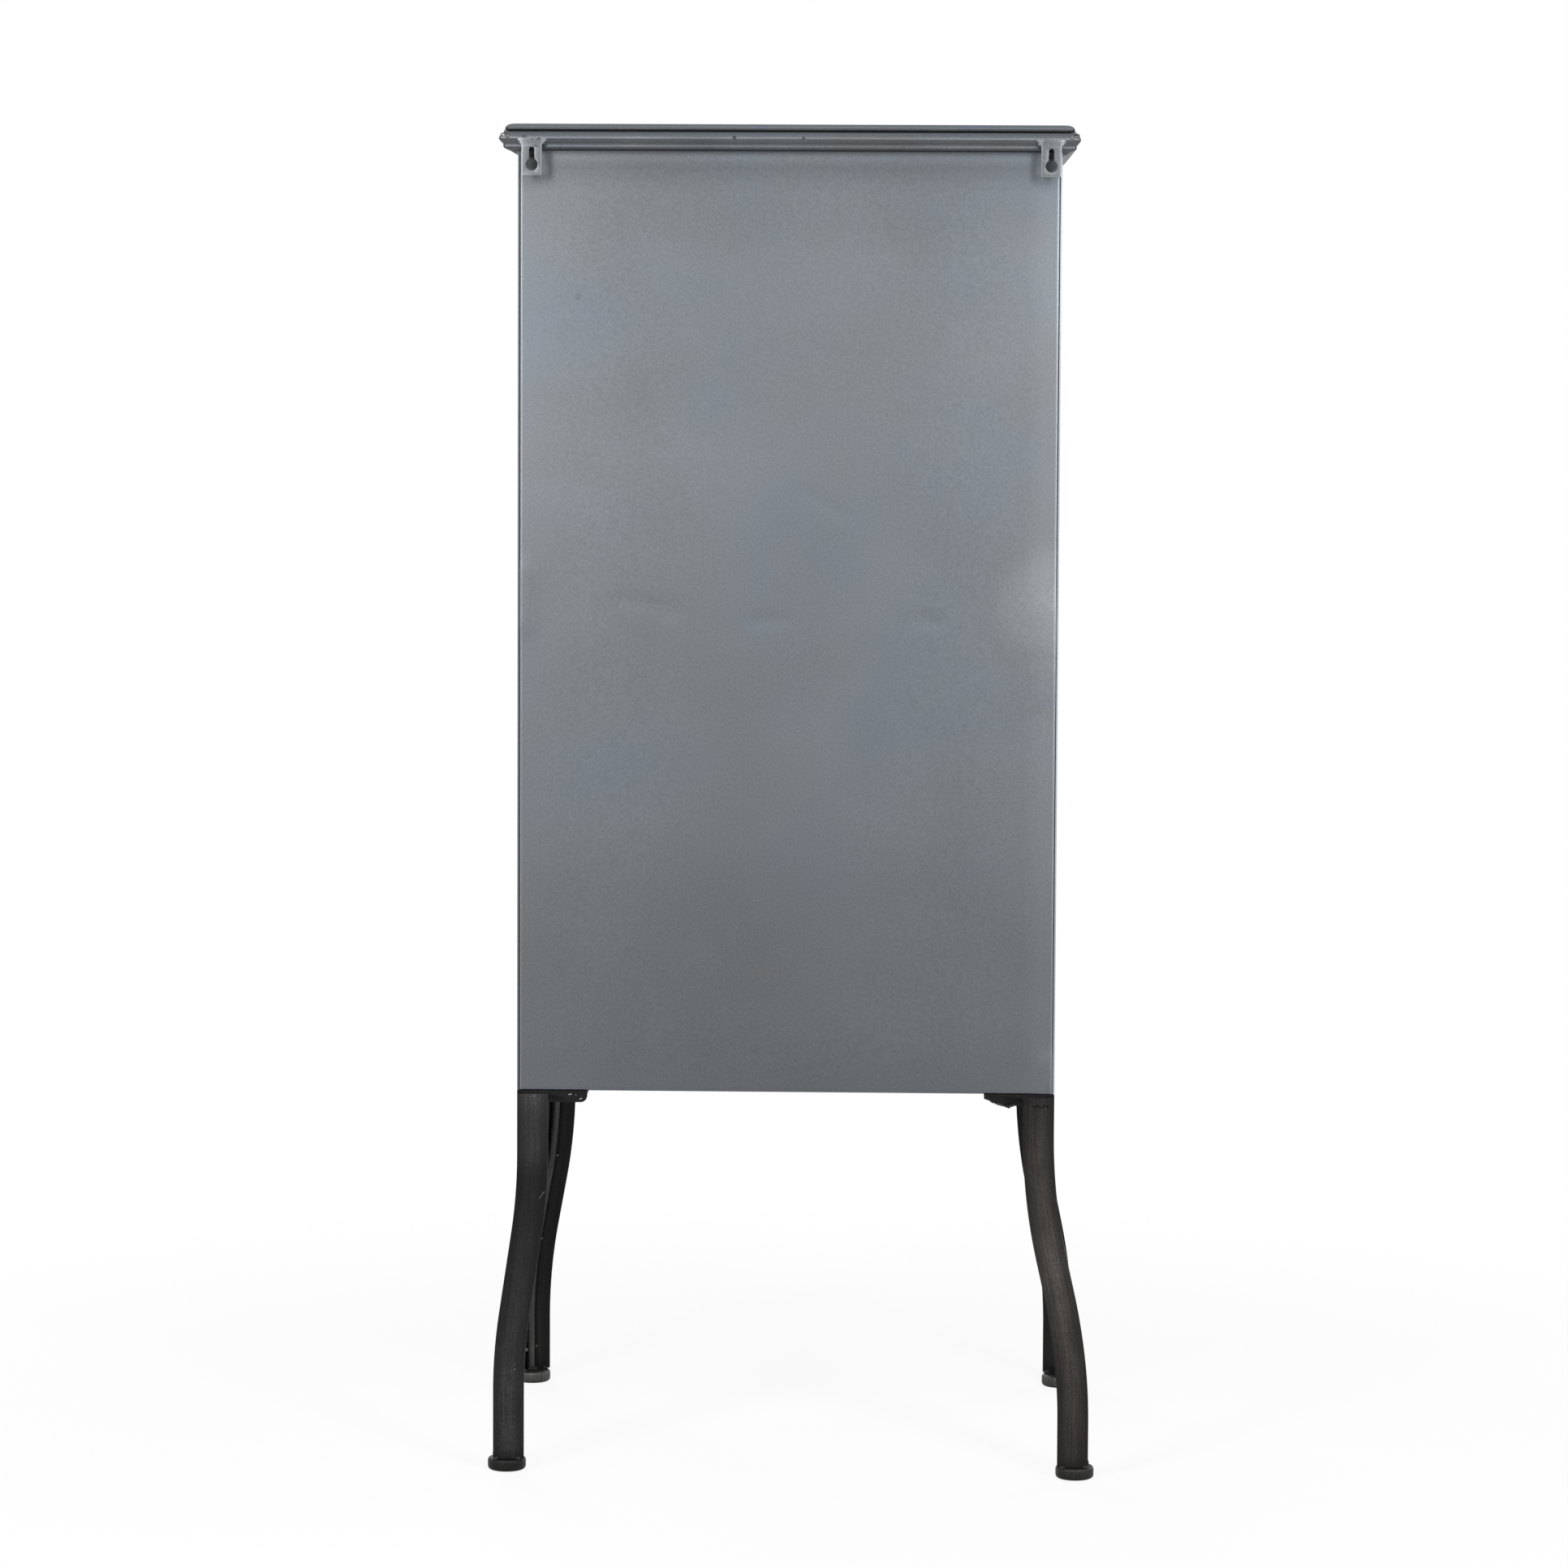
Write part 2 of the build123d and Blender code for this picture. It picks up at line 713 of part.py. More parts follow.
save(make_side_panel(-1), "side_panel_left")
save(make_side_panel(1), "side_panel_right")
save(make_back_panel(), "back_panel")
save(make_bottom_panel(), "bottom_panel")
save(make_top_panel(), "top_panel")
save(make_rail(leg_height, bay_floor(0), end_rail_return), "bottom_rail")
save(make_rail(bay_floor(drawer_count) - rail_height, panel_top, end_rail_return), "top_rail")

with BuildPart() as front_rails:
    for rail_level in range(1, drawer_count):
        rail_top = bay_floor(rail_level)
        add(make_rail(rail_top - rail_height, rail_top, rail_return))
save(front_rails.part, "front_rails")

forward = Vector(0, -1, 0)
rearward = Vector(0, 1, 0)
leftward = Vector(-1, 0, 0)
rightward = Vector(1, 0, 0)
slope = cornice_slope_height
save(make_cornice(forward, leftward, half_depth, half_width, slope), "cornice_front")
save(make_cornice(rearward, rightward, half_depth, half_width, 0), "cornice_rear")
save(make_cornice(leftward, rearward, half_width, half_depth, slope), "cornice_left")
save(make_cornice(rightward, forward, half_width, half_depth, slope), "cornice_right")

for corner_name, corner_x, corner_y, corner_splay in leg_corners():
    save(make_leg(corner_x, corner_y, corner_splay), f"leg_{corner_name}")
    save(make_foot(corner_x, corner_y, corner_splay), f"foot_{corner_name}")
save(make_leg_rods(), "leg_rods")
save(make_corner_brackets(), "corner_brackets")
save(make_leg_bolts(), "leg_bolts")
save(make_leg_nuts(), "leg_nuts")

save(make_hanger(half_width - hanger_inset_right), "hanger_right")
save(make_hanger(hanger_inset_left - half_width), "hanger_left")
save(make_runners(-1), "runners_left")
save(make_runners(1), "runners_right")
save(make_drawer_stops(), "drawer_stops")

for drawer in range(drawer_count):
    drawer_name = f"drawer_{drawer_count - drawer}"
    save(make_tray(drawer), f"{drawer_name}_tray")
    save(make_front(drawer), f"{drawer_name}_front")
    save(make_pull(drawer), f"{drawer_name}_pull")
    save(make_card(drawer), f"{drawer_name}_card")
    save(make_fixings(drawer), f"{drawer_name}_fixings")
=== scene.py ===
"""Looks of the small sheet-steel drawer cabinet, which the photograph shows from behind.

Metres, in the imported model's frame: the drawers open towards -Y, the back panel faces +Y, +Z is
up, and +X is the cabinet's right side, which a view of its back shows on the left.
"""

import logging
import math
import random
from collections.abc import Callable, Iterable
from dataclasses import dataclass
from enum import Enum
from functools import partial

import bmesh
import bpy
from bpy.types import Material, Node, NodeSocket, NodeTree, Object
from mathutils import Matrix, Vector


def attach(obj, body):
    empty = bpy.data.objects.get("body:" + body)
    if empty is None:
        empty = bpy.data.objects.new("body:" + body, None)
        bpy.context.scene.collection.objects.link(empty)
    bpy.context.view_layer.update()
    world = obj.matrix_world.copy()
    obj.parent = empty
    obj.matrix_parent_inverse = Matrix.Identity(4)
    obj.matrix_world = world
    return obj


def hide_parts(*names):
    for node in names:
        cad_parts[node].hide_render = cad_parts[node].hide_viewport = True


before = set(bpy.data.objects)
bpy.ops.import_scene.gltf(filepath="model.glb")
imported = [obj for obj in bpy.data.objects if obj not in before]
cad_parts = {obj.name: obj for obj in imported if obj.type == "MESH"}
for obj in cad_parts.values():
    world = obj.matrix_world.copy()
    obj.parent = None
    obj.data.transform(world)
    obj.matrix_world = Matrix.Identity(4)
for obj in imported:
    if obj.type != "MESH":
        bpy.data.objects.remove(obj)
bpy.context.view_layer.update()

log = logging.getLogger("cabinet")
MM = 0.001
HAIR = 1e-5  # how exactly edges are picked by their place
NOISE = (0.3, 0.7)  # where most values of a noise texture lie
Point = tuple[float, float, float]
Run = list[Point]
Stops = tuple[tuple[float, float], ...]
Marks = tuple[tuple[float, ...], ...]
Spots = tuple[tuple[Point, float, float], ...]


class Corner(Enum):
    """The cabinet's corners: the signs of X and Y, and how far the leg there splays."""

    REAR_RIGHT = (1, 1, 0.018)
    REAR_LEFT = (-1, 1, 0.029)
    FRONT_RIGHT = (1, -1, 0.024)
    FRONT_LEFT = (-1, -1, 0.026)

    @property
    def word(self) -> str:
        """Name of the corner as the CAD nodes spell it."""
        return self.name.lower()


# ---- bench: modelling by hand ----
def hold(piece: Object) -> None:
    """Select one piece alone and make it active.

    Args:
        piece: The piece.
    """
    for other in bpy.context.selected_objects:
        other.select_set(False)
    piece.select_set(True)
    bpy.context.view_layer.objects.active = piece


def settle(piece: Object) -> None:
    """Move a piece's place, turn and scale into its mesh."""
    hold(piece)
    bpy.ops.object.transform_apply(location=True, rotation=True, scale=True)


def open_mesh(piece: Object) -> None:
    """Enter edit mode on one piece with nothing selected.

    Args:
        piece: The piece.
    """
    hold(piece)
    bpy.ops.object.mode_set(mode="EDIT")
    bpy.ops.mesh.select_mode(type="VERT")
    bpy.ops.mesh.select_all(action="DESELECT")


def close_mesh() -> None:
    """Leave edit mode."""
    bpy.ops.object.mode_set(mode="OBJECT")


def face_outwards() -> None:
    """Select the whole open mesh and turn its normals outwards."""
    bpy.ops.mesh.select_all(action="SELECT")
    bpy.ops.mesh.normals_make_consistent(inside=False)


def pick_edges(piece: Object, test: Callable[[Vector, Vector], bool]) -> None:
    """Select the edges whose two ends pass a test, and nothing else.

    Args:
        piece: The piece in edit mode.
        test: Takes the places of an edge's two ends.
    """
    bpy.ops.mesh.select_mode(type="EDGE")
    bpy.ops.mesh.select_all(action="DESELECT")
    for edge in bmesh.from_edit_mesh(piece.data).edges:
        if test(edge.verts[0].co, edge.verts[1].co):
            edge.select_set(True)
    bmesh.update_edit_mesh(piece.data)


def modify(piece: Object, kind: str, **settings: object) -> None:
    """Add one modifier to a piece and apply it.

    Args:
        piece: The piece.
        kind: The modifier's type.
        **settings: The modifier's own attributes.
    """
    hold(piece)
    step = piece.modifiers.new(kind.lower(), kind)
    for name, value in settings.items():
        setattr(step, name, value)
    bpy.ops.object.modifier_apply(modifier=step.name)


def cut(piece: Object, tool: Object) -> None:
    """Take a tool's shape out of a piece, and the tool away."""
    modify(piece, "BOOLEAN", operation="DIFFERENCE", solver="EXACT", object=tool)
    bpy.data.objects.remove(tool)


def join(pieces: list[Object]) -> Object:
    """Join pieces into the first one.

    Args:
        pieces: The pieces.

    Returns:
        The first one, which now holds them all.
    """
    hold(pieces[0])
    for piece in pieces:
        piece.select_set(True)
    if len(pieces) > 1:
        bpy.ops.object.join()
    return bpy.context.object


def copy_of(piece: Object, shift: Point) -> Object:
    """Copy a piece with its own mesh, and move the copy.

    Args:
        piece: The piece.
        shift: How far the copy is moved.

    Returns:
        The copy.
    """
    twin = piece.copy()
    twin.data = piece.data.copy()
    bpy.context.scene.collection.objects.link(twin)
    twin.data.transform(Matrix.Translation(shift))
    return twin


def weigh(piece: Object, name: str, weight: Callable[[Vector], float]) -> str:
    """Give a piece a vertex group whose weights follow from each vertex's place.

    Args:
        piece: The piece.
        name: The group's name.
        weight: Takes a vertex's place and returns a weight from 0 to 1.

    Returns:
        The group's name, for a modifier.
    """
    group = piece.vertex_groups.new(name=name)
    for vertex in piece.data.vertices:
        group.add([vertex.index], min(1.0, max(0.0, weight(vertex.co))), "REPLACE")
    return name


def on_plane(runs: Iterable[Stops], y: float) -> list[Run]:
    """Put runs of points that are given in x and z onto the plane at y."""
    return [[(x, y, z) for x, z in run] for run in runs]


def finish_piece(
    piece: Object,
    name: str,
    material: Material,
    stands_for: tuple[str, ...] = (),
    angle: float = 38.0,
) -> None:
    """Smooth, dress and name a piece, and fix it to the cabinet's case.

    Args:
        piece: The finished shape.
        name: Its name.
        material: What it is dressed in.
        stands_for: CAD nodes that it replaces.
        angle: Edges sharper than this stay sharp, in degrees.
    """
    settle(piece)
    bpy.ops.object.shade_smooth_by_angle(angle=math.radians(angle))
    piece.vertex_groups.clear()
    piece.name = piece.data.name = name
    piece.data.materials.clear()
    piece.data.materials.append(material)
    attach(piece, "cabinet")
    if stands_for:
        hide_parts(*stands_for)
    log.info("made %s, %d faces", name, len(piece.data.polygons))


def dress_faces(piece: Object, material: Material, test: Callable[[Vector], bool]) -> None:
    """Dress those faces of a finished piece whose normals pass a test in a second material.

    Args:
        piece: The finished piece.
        material: The second material.
        test: Takes a face's normal.
    """
    piece.data.materials.append(material)
    for face in piece.data.polygons:
        if test(face.normal):
            face.material_index = 1


def dress(names: Iterable[str], material: Material) -> None:
    """Give CAD nodes one material in place of their own.

    Args:
        names: The nodes' names.
        material: What they are dressed in.
    """
    for name in names:
        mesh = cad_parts[name].data
        mesh.materials.clear()
        mesh.materials.append(material)
        log.info("dressed %s in %s", name, material.name)


# ---- finishes ----
def linear(hex_colour: str) -> tuple[float, float, float, float]:
    """Turn an sRGB hex colour such as "7f8890" into the linear RGBA that shaders take.

    Args:
        hex_colour: Six hex digits, two for each of red, green and blue.

    Returns:
        The colour, with full alpha.
    """
    parts = [int(hex_colour[i : i + 2], 16) / 255 for i in (0, 2, 4)]
    turned = [c / 12.92 if c <= 0.04045 else ((c + 0.055) / 1.055) ** 2.4 for c in parts]
    return (*turned, 1.0)


def add_node(tree: NodeTree, kind: str, inputs: tuple | dict = (), **settings: object) -> Node:
    """Add a shader node with its settings and with what feeds its inputs.

    Args:
        tree: The material's or world's node tree.
        kind: The node type's name without its "ShaderNode" prefix.
        inputs: What the inputs take: a value, an output socket, or a node, which stands for its
            first output. A tuple fills them in order, a dict by name or number.
        **settings: The node's own attributes.

    Returns:
        The new node.
    """
    node = tree.nodes.new("ShaderNode" + kind)
    for name, value in settings.items():
        setattr(node, name, value)
    for key, value in inputs.items() if isinstance(inputs, dict) else enumerate(inputs):
        if isinstance(value, Node):
            value = value.outputs[0]
        if isinstance(value, NodeSocket):
            tree.links.new(value, node.inputs[key])
        else:
            node.inputs[key].default_value = value
    return node


Adder = Callable[..., Node]  # add_node for one tree


def new_material(name: str) -> tuple[Material, Adder]:
    """Make an empty node material.

    Args:
        name: The material's name.

    Returns:
        The material, and add_node for its tree.
    """
    material = bpy.data.materials.new(name)
    material.use_nodes = True
    material.node_tree.nodes.clear()
    return material, partial(add_node, material.node_tree)


def tone_by_height(add: Adder, coords: NodeSocket, stops: Stops) -> Node:
    """Make a lightness factor from 0 to 2 that changes with height.

    Args:
        add: Adds a node to the material's tree.
        coords: Object coordinates.
        stops: Heights in metres, rising, each with its factor.

    Returns:
        The node that gives the factor.
    """
    low, high = stops[0][0], stops[-1][0]
    share = add("MapRange", (add("SeparateXYZ", (coords,)).outputs[2], low, high))
    ramp = add("ValToRGB", (share,))
    ramp.color_ramp.interpolation = "EASE"
    marks = ramp.color_ramp.elements
    for height, factor in stops[1:-1]:
        marks.new((height - low) / (high - low)).color = (factor / 2,) * 3 + (1,)
    for mark, (_, factor) in ((marks[0], stops[0]), (marks[-1], stops[-1])):
        mark.color = (factor / 2,) * 3 + (1,)
    return add("Math", (ramp, 2.0), operation="MULTIPLY")


@dataclass(frozen=True)
class Finish:
    """What a piece is dressed in."""

    name: str

    def surface(self, add: Adder, coords: NodeSocket) -> dict[str, object]:
        """Add the nodes that tell this finish from others.

        Args:
            add: Adds a node to the material's tree.
            coords: Object coordinates.

        Returns:
            What the principled shader's inputs take.
        """
        raise NotImplementedError

    def make(self) -> Material:
        """Build the node material.

        Returns:
            The material.
        """
        material, add = new_material(self.name)
        surface = self.surface(add, add("TexCoord").outputs["Object"])
        add("OutputMaterial", {"Surface": add("BsdfPrincipled", surface)})
        return material


@dataclass(frozen=True)
class SheetSteel(Finish):
    """Cold-rolled sheet steel, brushed down and clear lacquered.

    To the eye it is a satin blue-grey with broad soft clouds of tint, a fine even mottling and
    a few dark specks under the lacquer.
    """

    light: str = "6c7176"
    dark: str = "66696c"
    blue: str = "656c75"
    warm: str = "6a6a69"
    speck: str = "2c2c2d"
    roughness: float = 0.46
    coat: float = 0.12
    cloud_mm: float = 170.0  # broad clouds of tint
    grain_mm: float = 1.7  # mottling of the lacquer
    grain_contrast: float = 0.1
    speck_mm: float = 34.0  # mean distance between two dark specks
    speck_size_mm: float = 0.7
    grain_depth_mm: float = 0.012
    heights: Stops = ()  # lightness by height, used here for painted shade and reflection: a dark band under the cornice and dark hollows in it
    # margins painted lighter or darker; those used here are painted highlights along edges and
    # rims: axis, where each starts and is full, and its factor
    margins: tuple[tuple[int, float, float, float], ...] = ()
    # spots painted darker or lighter, both painted shade and highlights and real chips in the
    # lacquer: centre, radius, and factor in the middle
    spots: Spots = ()

    def surface(self, add: Adder, coords: NodeSocket) -> dict[str, object]:
        """Add the steel's clouds, mottling, margins, spots and specks.

        Args:
            add: Adds a node to the material's tree.
            coords: Object coordinates.

        Returns:
            What the principled shader's inputs take.
        """
        wide, fine, swirl = (
            {"Vector": coords, "Scale": 1000 / size, "Detail": detail}
            for size, detail in ((self.cloud_mm, 2.0), (self.grain_mm, 2.0), (self.cloud_mm, 3.0))
        )
        swirl |= {"W": 3.7, "Scale": 1300 / self.cloud_mm, "Distortion": 0.4}
        clouds, grain = add("TexNoise", wide), add("TexNoise", fine)
        tint = add("TexNoise", swirl, noise_dimensions="4D")
        colour = linear(self.dark)
        for reach, over in (
            ((clouds, 0.35, 0.65), self.light),
            ((tint, 0.5, 0.7, 0.0, 0.6), self.blue),
            ((tint, 0.48, 0.3, 0.0, 0.4), self.warm),
        ):
            both = {0: add("MapRange", reach), 6: colour, 7: linear(over)}
            colour = add("Mix", both, data_type="RGBA").outputs[2]
        contrast = self.grain_contrast
        tone = add("MapRange", (grain, *NOISE, 1 - contrast, 1 + contrast))
        factors = [tone_by_height(add, coords, self.heights)] if self.heights else []
        places = add("SeparateXYZ", (coords,)).outputs
        for axis, start, full, factor in self.margins:
            factors.append(add("MapRange", (places[axis], start, full, 1.0, factor)))
        for centre, radius, factor in self.spots:
            away = add("VectorMath", (coords, centre), operation="DISTANCE").outputs["Value"]
            reach = (away, radius * 0.5, radius, factor, 1.0)
            factors.append(add("MapRange", reach, interpolation_type="SMOOTHSTEP"))
        for factor in factors:
            tone = add("Math", (tone, factor), operation="MULTIPLY")
        both = {0: 1.0, 6: colour, 7: tone}
        toned = add("Mix", both, data_type="RGBA", blend_type="MULTIPLY").outputs[2]
        specks = add("TexVoronoi", {"Vector": coords, "Scale": 1000 / self.speck_mm})
        size = self.speck_size_mm / self.speck_mm
        dots = add("MapRange", (specks, size, size * 0.4, 0.0, 0.7))
        both = {0: dots, 6: toned, 7: linear(self.speck)}
        rough = (clouds, *NOISE, self.roughness + 0.02, self.roughness - 0.02)
        depth = self.grain_depth_mm * MM
        return {
            "Base Color": add("Mix", both, data_type="RGBA").outputs[2],
            "Metallic": 1.0,
            "Roughness": add("MapRange", rough),
            "Coat Weight": self.coat,
            "Coat Roughness": 0.3,
            "Normal": add("Bump", {"Height": grain, "Strength": 0.35, "Distance": depth}),
        }


@dataclass(frozen=True)
class BlackenedIron(Finish):
    """Hot-rolled iron bar, blackened and rubbed down with a wire brush.

    To the eye it is nearly black and dull, greyer along the middle of each face where the brush
    cut through the black, with faint marks along the bar and a few pale flecks.
    """

    black: str = "1a1a1a"
    rubbed: str = "474746"
    fleck: str = "b9b8b4"
    centre: tuple[float, float] = (0.0, 0.0)  # plan place of the middle of both flanges, at the top
    lean: tuple[float, float] = (0.0, 0.0)  # how far the bar steps outwards between its bends
    half_face: float = 0.0125
    bend_high: float = 0.267  # where the bar's upper bend begins and its lower bend ends
    bend_low: float = 0.056
    streak_mm: float = 1.5  # width of a brush mark, coarser than it is so that it shows
    streak_length_mm: float = 60.0
    patch_mm: float = 30.0
    grain_mm: float = 1.3
    middle: float = 0.6  # how far the black is cut through along the middle of a face
    everywhere: float = 0.18  # and elsewhere
    heights: Stops = ()  # lightness by height
    fleck_mm: float = 24.0  # mean distance between two flecks
    roughness: float = 0.55

    def surface(self, add: Adder, coords: NodeSocket) -> dict[str, object]:
        """Add the iron's rubbed middles, brush marks, tones and flecks.

        Args:
            add: Adds a node to the material's tree.
            coords: Object coordinates.

        Returns:
            What the principled shader's inputs take.
        """
        drop = (add("SeparateXYZ", (coords,)).outputs[2], self.bend_high, self.bend_low)
        step = add("MapRange", drop, interpolation_type="SMOOTHSTEP")
        shift = add("VectorMath", (step, (*self.lean, 0.0)), operation="MULTIPLY")
        upright = add("VectorMath", (coords, shift), operation="SUBTRACT")
        from_middle = add("VectorMath", (upright, (*self.centre, 0.0)), operation="SUBTRACT")
        distance = add("VectorMath", (from_middle,), operation="ABSOLUTE")
        sides = add("SeparateXYZ", (distance,)).outputs
        nearest = add("Math", (sides[0], sides[1]), operation="MINIMUM")
        across, along = 1000 / self.streak_mm, 1000 / self.streak_length_mm
        stretched = add("VectorMath", (upright, (across, across, along)), operation="MULTIPLY")
        brushed = {"Vector": stretched, "Scale": 1.0, "Detail": 4.0, "Roughness": 0.65}
        streaks = add("TexNoise", brushed)
        patches, grains = (
            add("TexNoise", {"Vector": coords, "Scale": 1000 / size, "Detail": detail})
            for size, detail in ((self.patch_mm, 3.0), (self.grain_mm, 2.0))
        )
        rim, core = self.half_face * 0.9, self.half_face * 0.15
        ridge = (nearest, rim, core, self.everywhere, self.middle)
        share = add("MapRange", ridge, interpolation_type="SMOOTHSTEP")
        for noise, spread in ((streaks, 0.55), (patches, 0.3), (grains, 0.45)):
            factor = add("MapRange", (noise, *NOISE, 1 - spread, 1 + spread))
            share = add("Math", (share, factor), operation="MULTIPLY", use_clamp=True)
        both = {0: share, 6: linear(self.black), 7: linear(self.rubbed)}
        body = add("Mix", both, data_type="RGBA").outputs[2]
        if self.heights:
            both = {0: 1.0, 6: body, 7: tone_by_height(add, coords, self.heights)}
            body = add("Mix", both, data_type="RGBA", blend_type="MULTIPLY").outputs[2]
        flecks = add("TexVoronoi", {"Vector": coords, "Scale": 1000 / self.fleck_mm})
        rim, core = 0.55 / self.fleck_mm, 0.2 / self.fleck_mm
        dots = add("MapRange", (flecks, rim, core, 0.0, 0.5))
        both = {0: dots, 6: body, 7: linear(self.fleck)}
        rough = (share, 0.0, 1.0, self.roughness + 0.06, self.roughness - 0.08)
        height = add("Math", (streaks, grains), operation="ADD")
        return {
            "Base Color": add("Mix", both, data_type="RGBA").outputs[2],
            "Metallic": 0.4,
            "Roughness": add("MapRange", rough),
            "Specular IOR Level": 0.2,
            "Normal": add("Bump", {"Height": height, "Strength": 0.7, "Distance": 0.08 * MM}),
        }


@dataclass(frozen=True)
class CardStock(Finish):
    """Uncoated manila card: a warm buff with short paper fibres, a little browner in patches."""

    buff: str = "cdbb94"
    aged: str = "b39c70"
    fibre_mm: float = 0.9
    patches_per_metre: float = 60.0

    def surface(self, add: Adder, coords: NodeSocket) -> dict[str, object]:
        """Add the card's fibres and browner patches.

        Args:
            add: Adds a node to the material's tree.
            coords: Object coordinates.

        Returns:
            What the principled shader's inputs take.
        """
        patches, fibres = (
            add("TexNoise", {"Vector": coords, "Scale": scale, "Detail": 4.0})
            for scale in (self.patches_per_metre, 1000 / self.fibre_mm)
        )
        share = add("Math", (patches, fibres), operation="MULTIPLY")
        spread = add("MapRange", (share, 0.15, 0.4))
        both = {0: spread, 6: linear(self.aged), 7: linear(self.buff)}
        return {
            "Base Color": add("Mix", both, data_type="RGBA").outputs[2],
            "Roughness": 0.85,
            "Normal": add("Bump", {"Height": fibres, "Strength": 0.4, "Distance": 0.03 * MM}),
        }


# ---- studio ----
@dataclass
class Studio:
    """Plain pale floor, soft lamps, white surroundings and the photograph's viewpoint."""

    camera_place: Point = (-0.1115, 4.385, 0.9246)
    yaw: float = 1.549
    pitch: float = -4.413
    roll: float = 0.276
    lens: float = 120.32
    shift_y: float = -0.03
    far_clip: float = 50.0
    floor_size: float = 16.0
    floor_drop: float = 0.0003  # below the feet, so that they don't share a plane with it
    shadow_reach: tuple[float, float] = (0.45, 1.3)  # where the floor's shadow starts to fade out
    shadow_glow: float = 0.88  # share of plain white in the floor's shadow
    # soft boxes: name, place, what each faces, its width and height, and its power in watts
    boxes: tuple[tuple[str, Point, Point, tuple[float, float], float], ...] = (
        ("box_right", (1.0, 1.7, 1.5), (0.15, 0.17, 0.9), (0.4, 1.0), 25),
        ("box_left", (-1.0, 1.7, 1.5), (-0.15, 0.17, 0.9), (0.4, 1.0), 25),
        ("box_over_camera", (0.0, 2.2, 2.5), (0.0, 0.17, 0.9), (1.8, 0.9), 12),
        ("box_front", (0.9, -2.6, 2.1), (0.0, -0.17, 0.7), (1.6, 1.4), 45),
        ("box_front_low", (-1.9, -1.9, 1.1), (0.0, -0.17, 0.6), (0.8, 1.6), 16),
    )

    def camera(self) -> None:
        """Place the camera where the photograph was taken from."""
        yaw, pitch, roll = (math.radians(a) for a in (self.yaw, self.pitch, self.roll))
        ahead = Vector(
            (math.sin(yaw) * math.cos(pitch), -math.cos(yaw) * math.cos(pitch), math.sin(pitch))
        )
        level = ahead.cross(Vector((0, 0, 1))).normalized()
        upright = level.cross(ahead)
        right = math.cos(roll) * level + math.sin(roll) * upright
        up = math.cos(roll) * upright - math.sin(roll) * level
        turn = Matrix((right, up, -ahead)).transposed().to_4x4()
        data = bpy.data.cameras.new("camera")
        data.lens, data.shift_y, data.clip_end = self.lens, self.shift_y, self.far_clip
        camera = bpy.data.objects.new("camera", data)
        bpy.context.scene.collection.objects.link(camera)
        camera.matrix_world = Matrix.Translation(self.camera_place) @ turn
        bpy.context.scene.camera = camera

    def lamps(self) -> None:
        """Hang the soft boxes: two high beside the camera, one over it, two at the front."""
        for name, place, target, size, power in self.boxes:
            data = bpy.data.lights.new(name, "AREA")
            data.shape = "RECTANGLE"
            data.size, data.size_y = size
            data.energy = power
            lamp = bpy.data.objects.new(name, data)
            bpy.context.scene.collection.objects.link(lamp)
            lamp.location = place
            facing = Vector(target) - Vector(place)
            lamp.rotation_euler = facing.to_track_quat("-Z", "Y").to_euler()

    def surroundings(self) -> None:
        """Light evenly from all round, and show white behind the object and in its metal."""
        world = bpy.data.worlds.new("white_room")
        bpy.context.scene.world = world
        world.use_nodes = True
        world.node_tree.nodes.clear()
        add = partial(add_node, world.node_tree)
        rays = add("LightPath").outputs
        seen = rays["Is Camera Ray"]
        for other in ("Is Glossy Ray", "Is Transmission Ray"):
            seen = add("Math", (seen, rays[other]), operation="MAXIMUM")
        strength = add("MapRange", (seen, 0.0, 1.0, 0.35, 1.0))
        light = add("Background", ((1, 1, 1, 1), strength))
        add("OutputWorld", {"Surface": light})

    def floor(self) -> None:
        """Lay a matt white floor that shows as white and keeps the object's soft shadow."""
        bpy.ops.mesh.primitive_plane_add(size=self.floor_size, location=(0, 0, -self.floor_drop))
        floor = bpy.context.object
        floor.name = "floor"
        material, add = new_material("matt_white_floor")
        rays = add("LightPath").outputs
        looked_at = (rays["Is Camera Ray"], rays["Is Glossy Ray"])
        shown = add("Math", looked_at, operation="MAXIMUM")
        coords = add("TexCoord").outputs["Object"]
        away = add("VectorMath", (coords,), operation="LENGTH").outputs["Value"]
        reach = (away, *self.shadow_reach, self.shadow_glow, 1.0)
        bright = add("MapRange", reach, interpolation_type="SMOOTHSTEP")
        share = add("Math", (shown, bright), operation="MULTIPLY")
        paint = add("BsdfDiffuse", {"Color": linear("e4e4e4")})
        glow = add("Emission", {"Color": (1, 1, 1, 1), "Strength": 1.0})
        add("OutputMaterial", {"Surface": add("MixShader", (share, paint, glow))})
        floor.data.materials.append(material)

    def build(self) -> None:
        """Set up the camera, lamps, surroundings and floor."""
        self.camera()
        self.lamps()
        self.surroundings()
        self.floor()
        bpy.context.scene.view_settings.view_transform = "Standard"


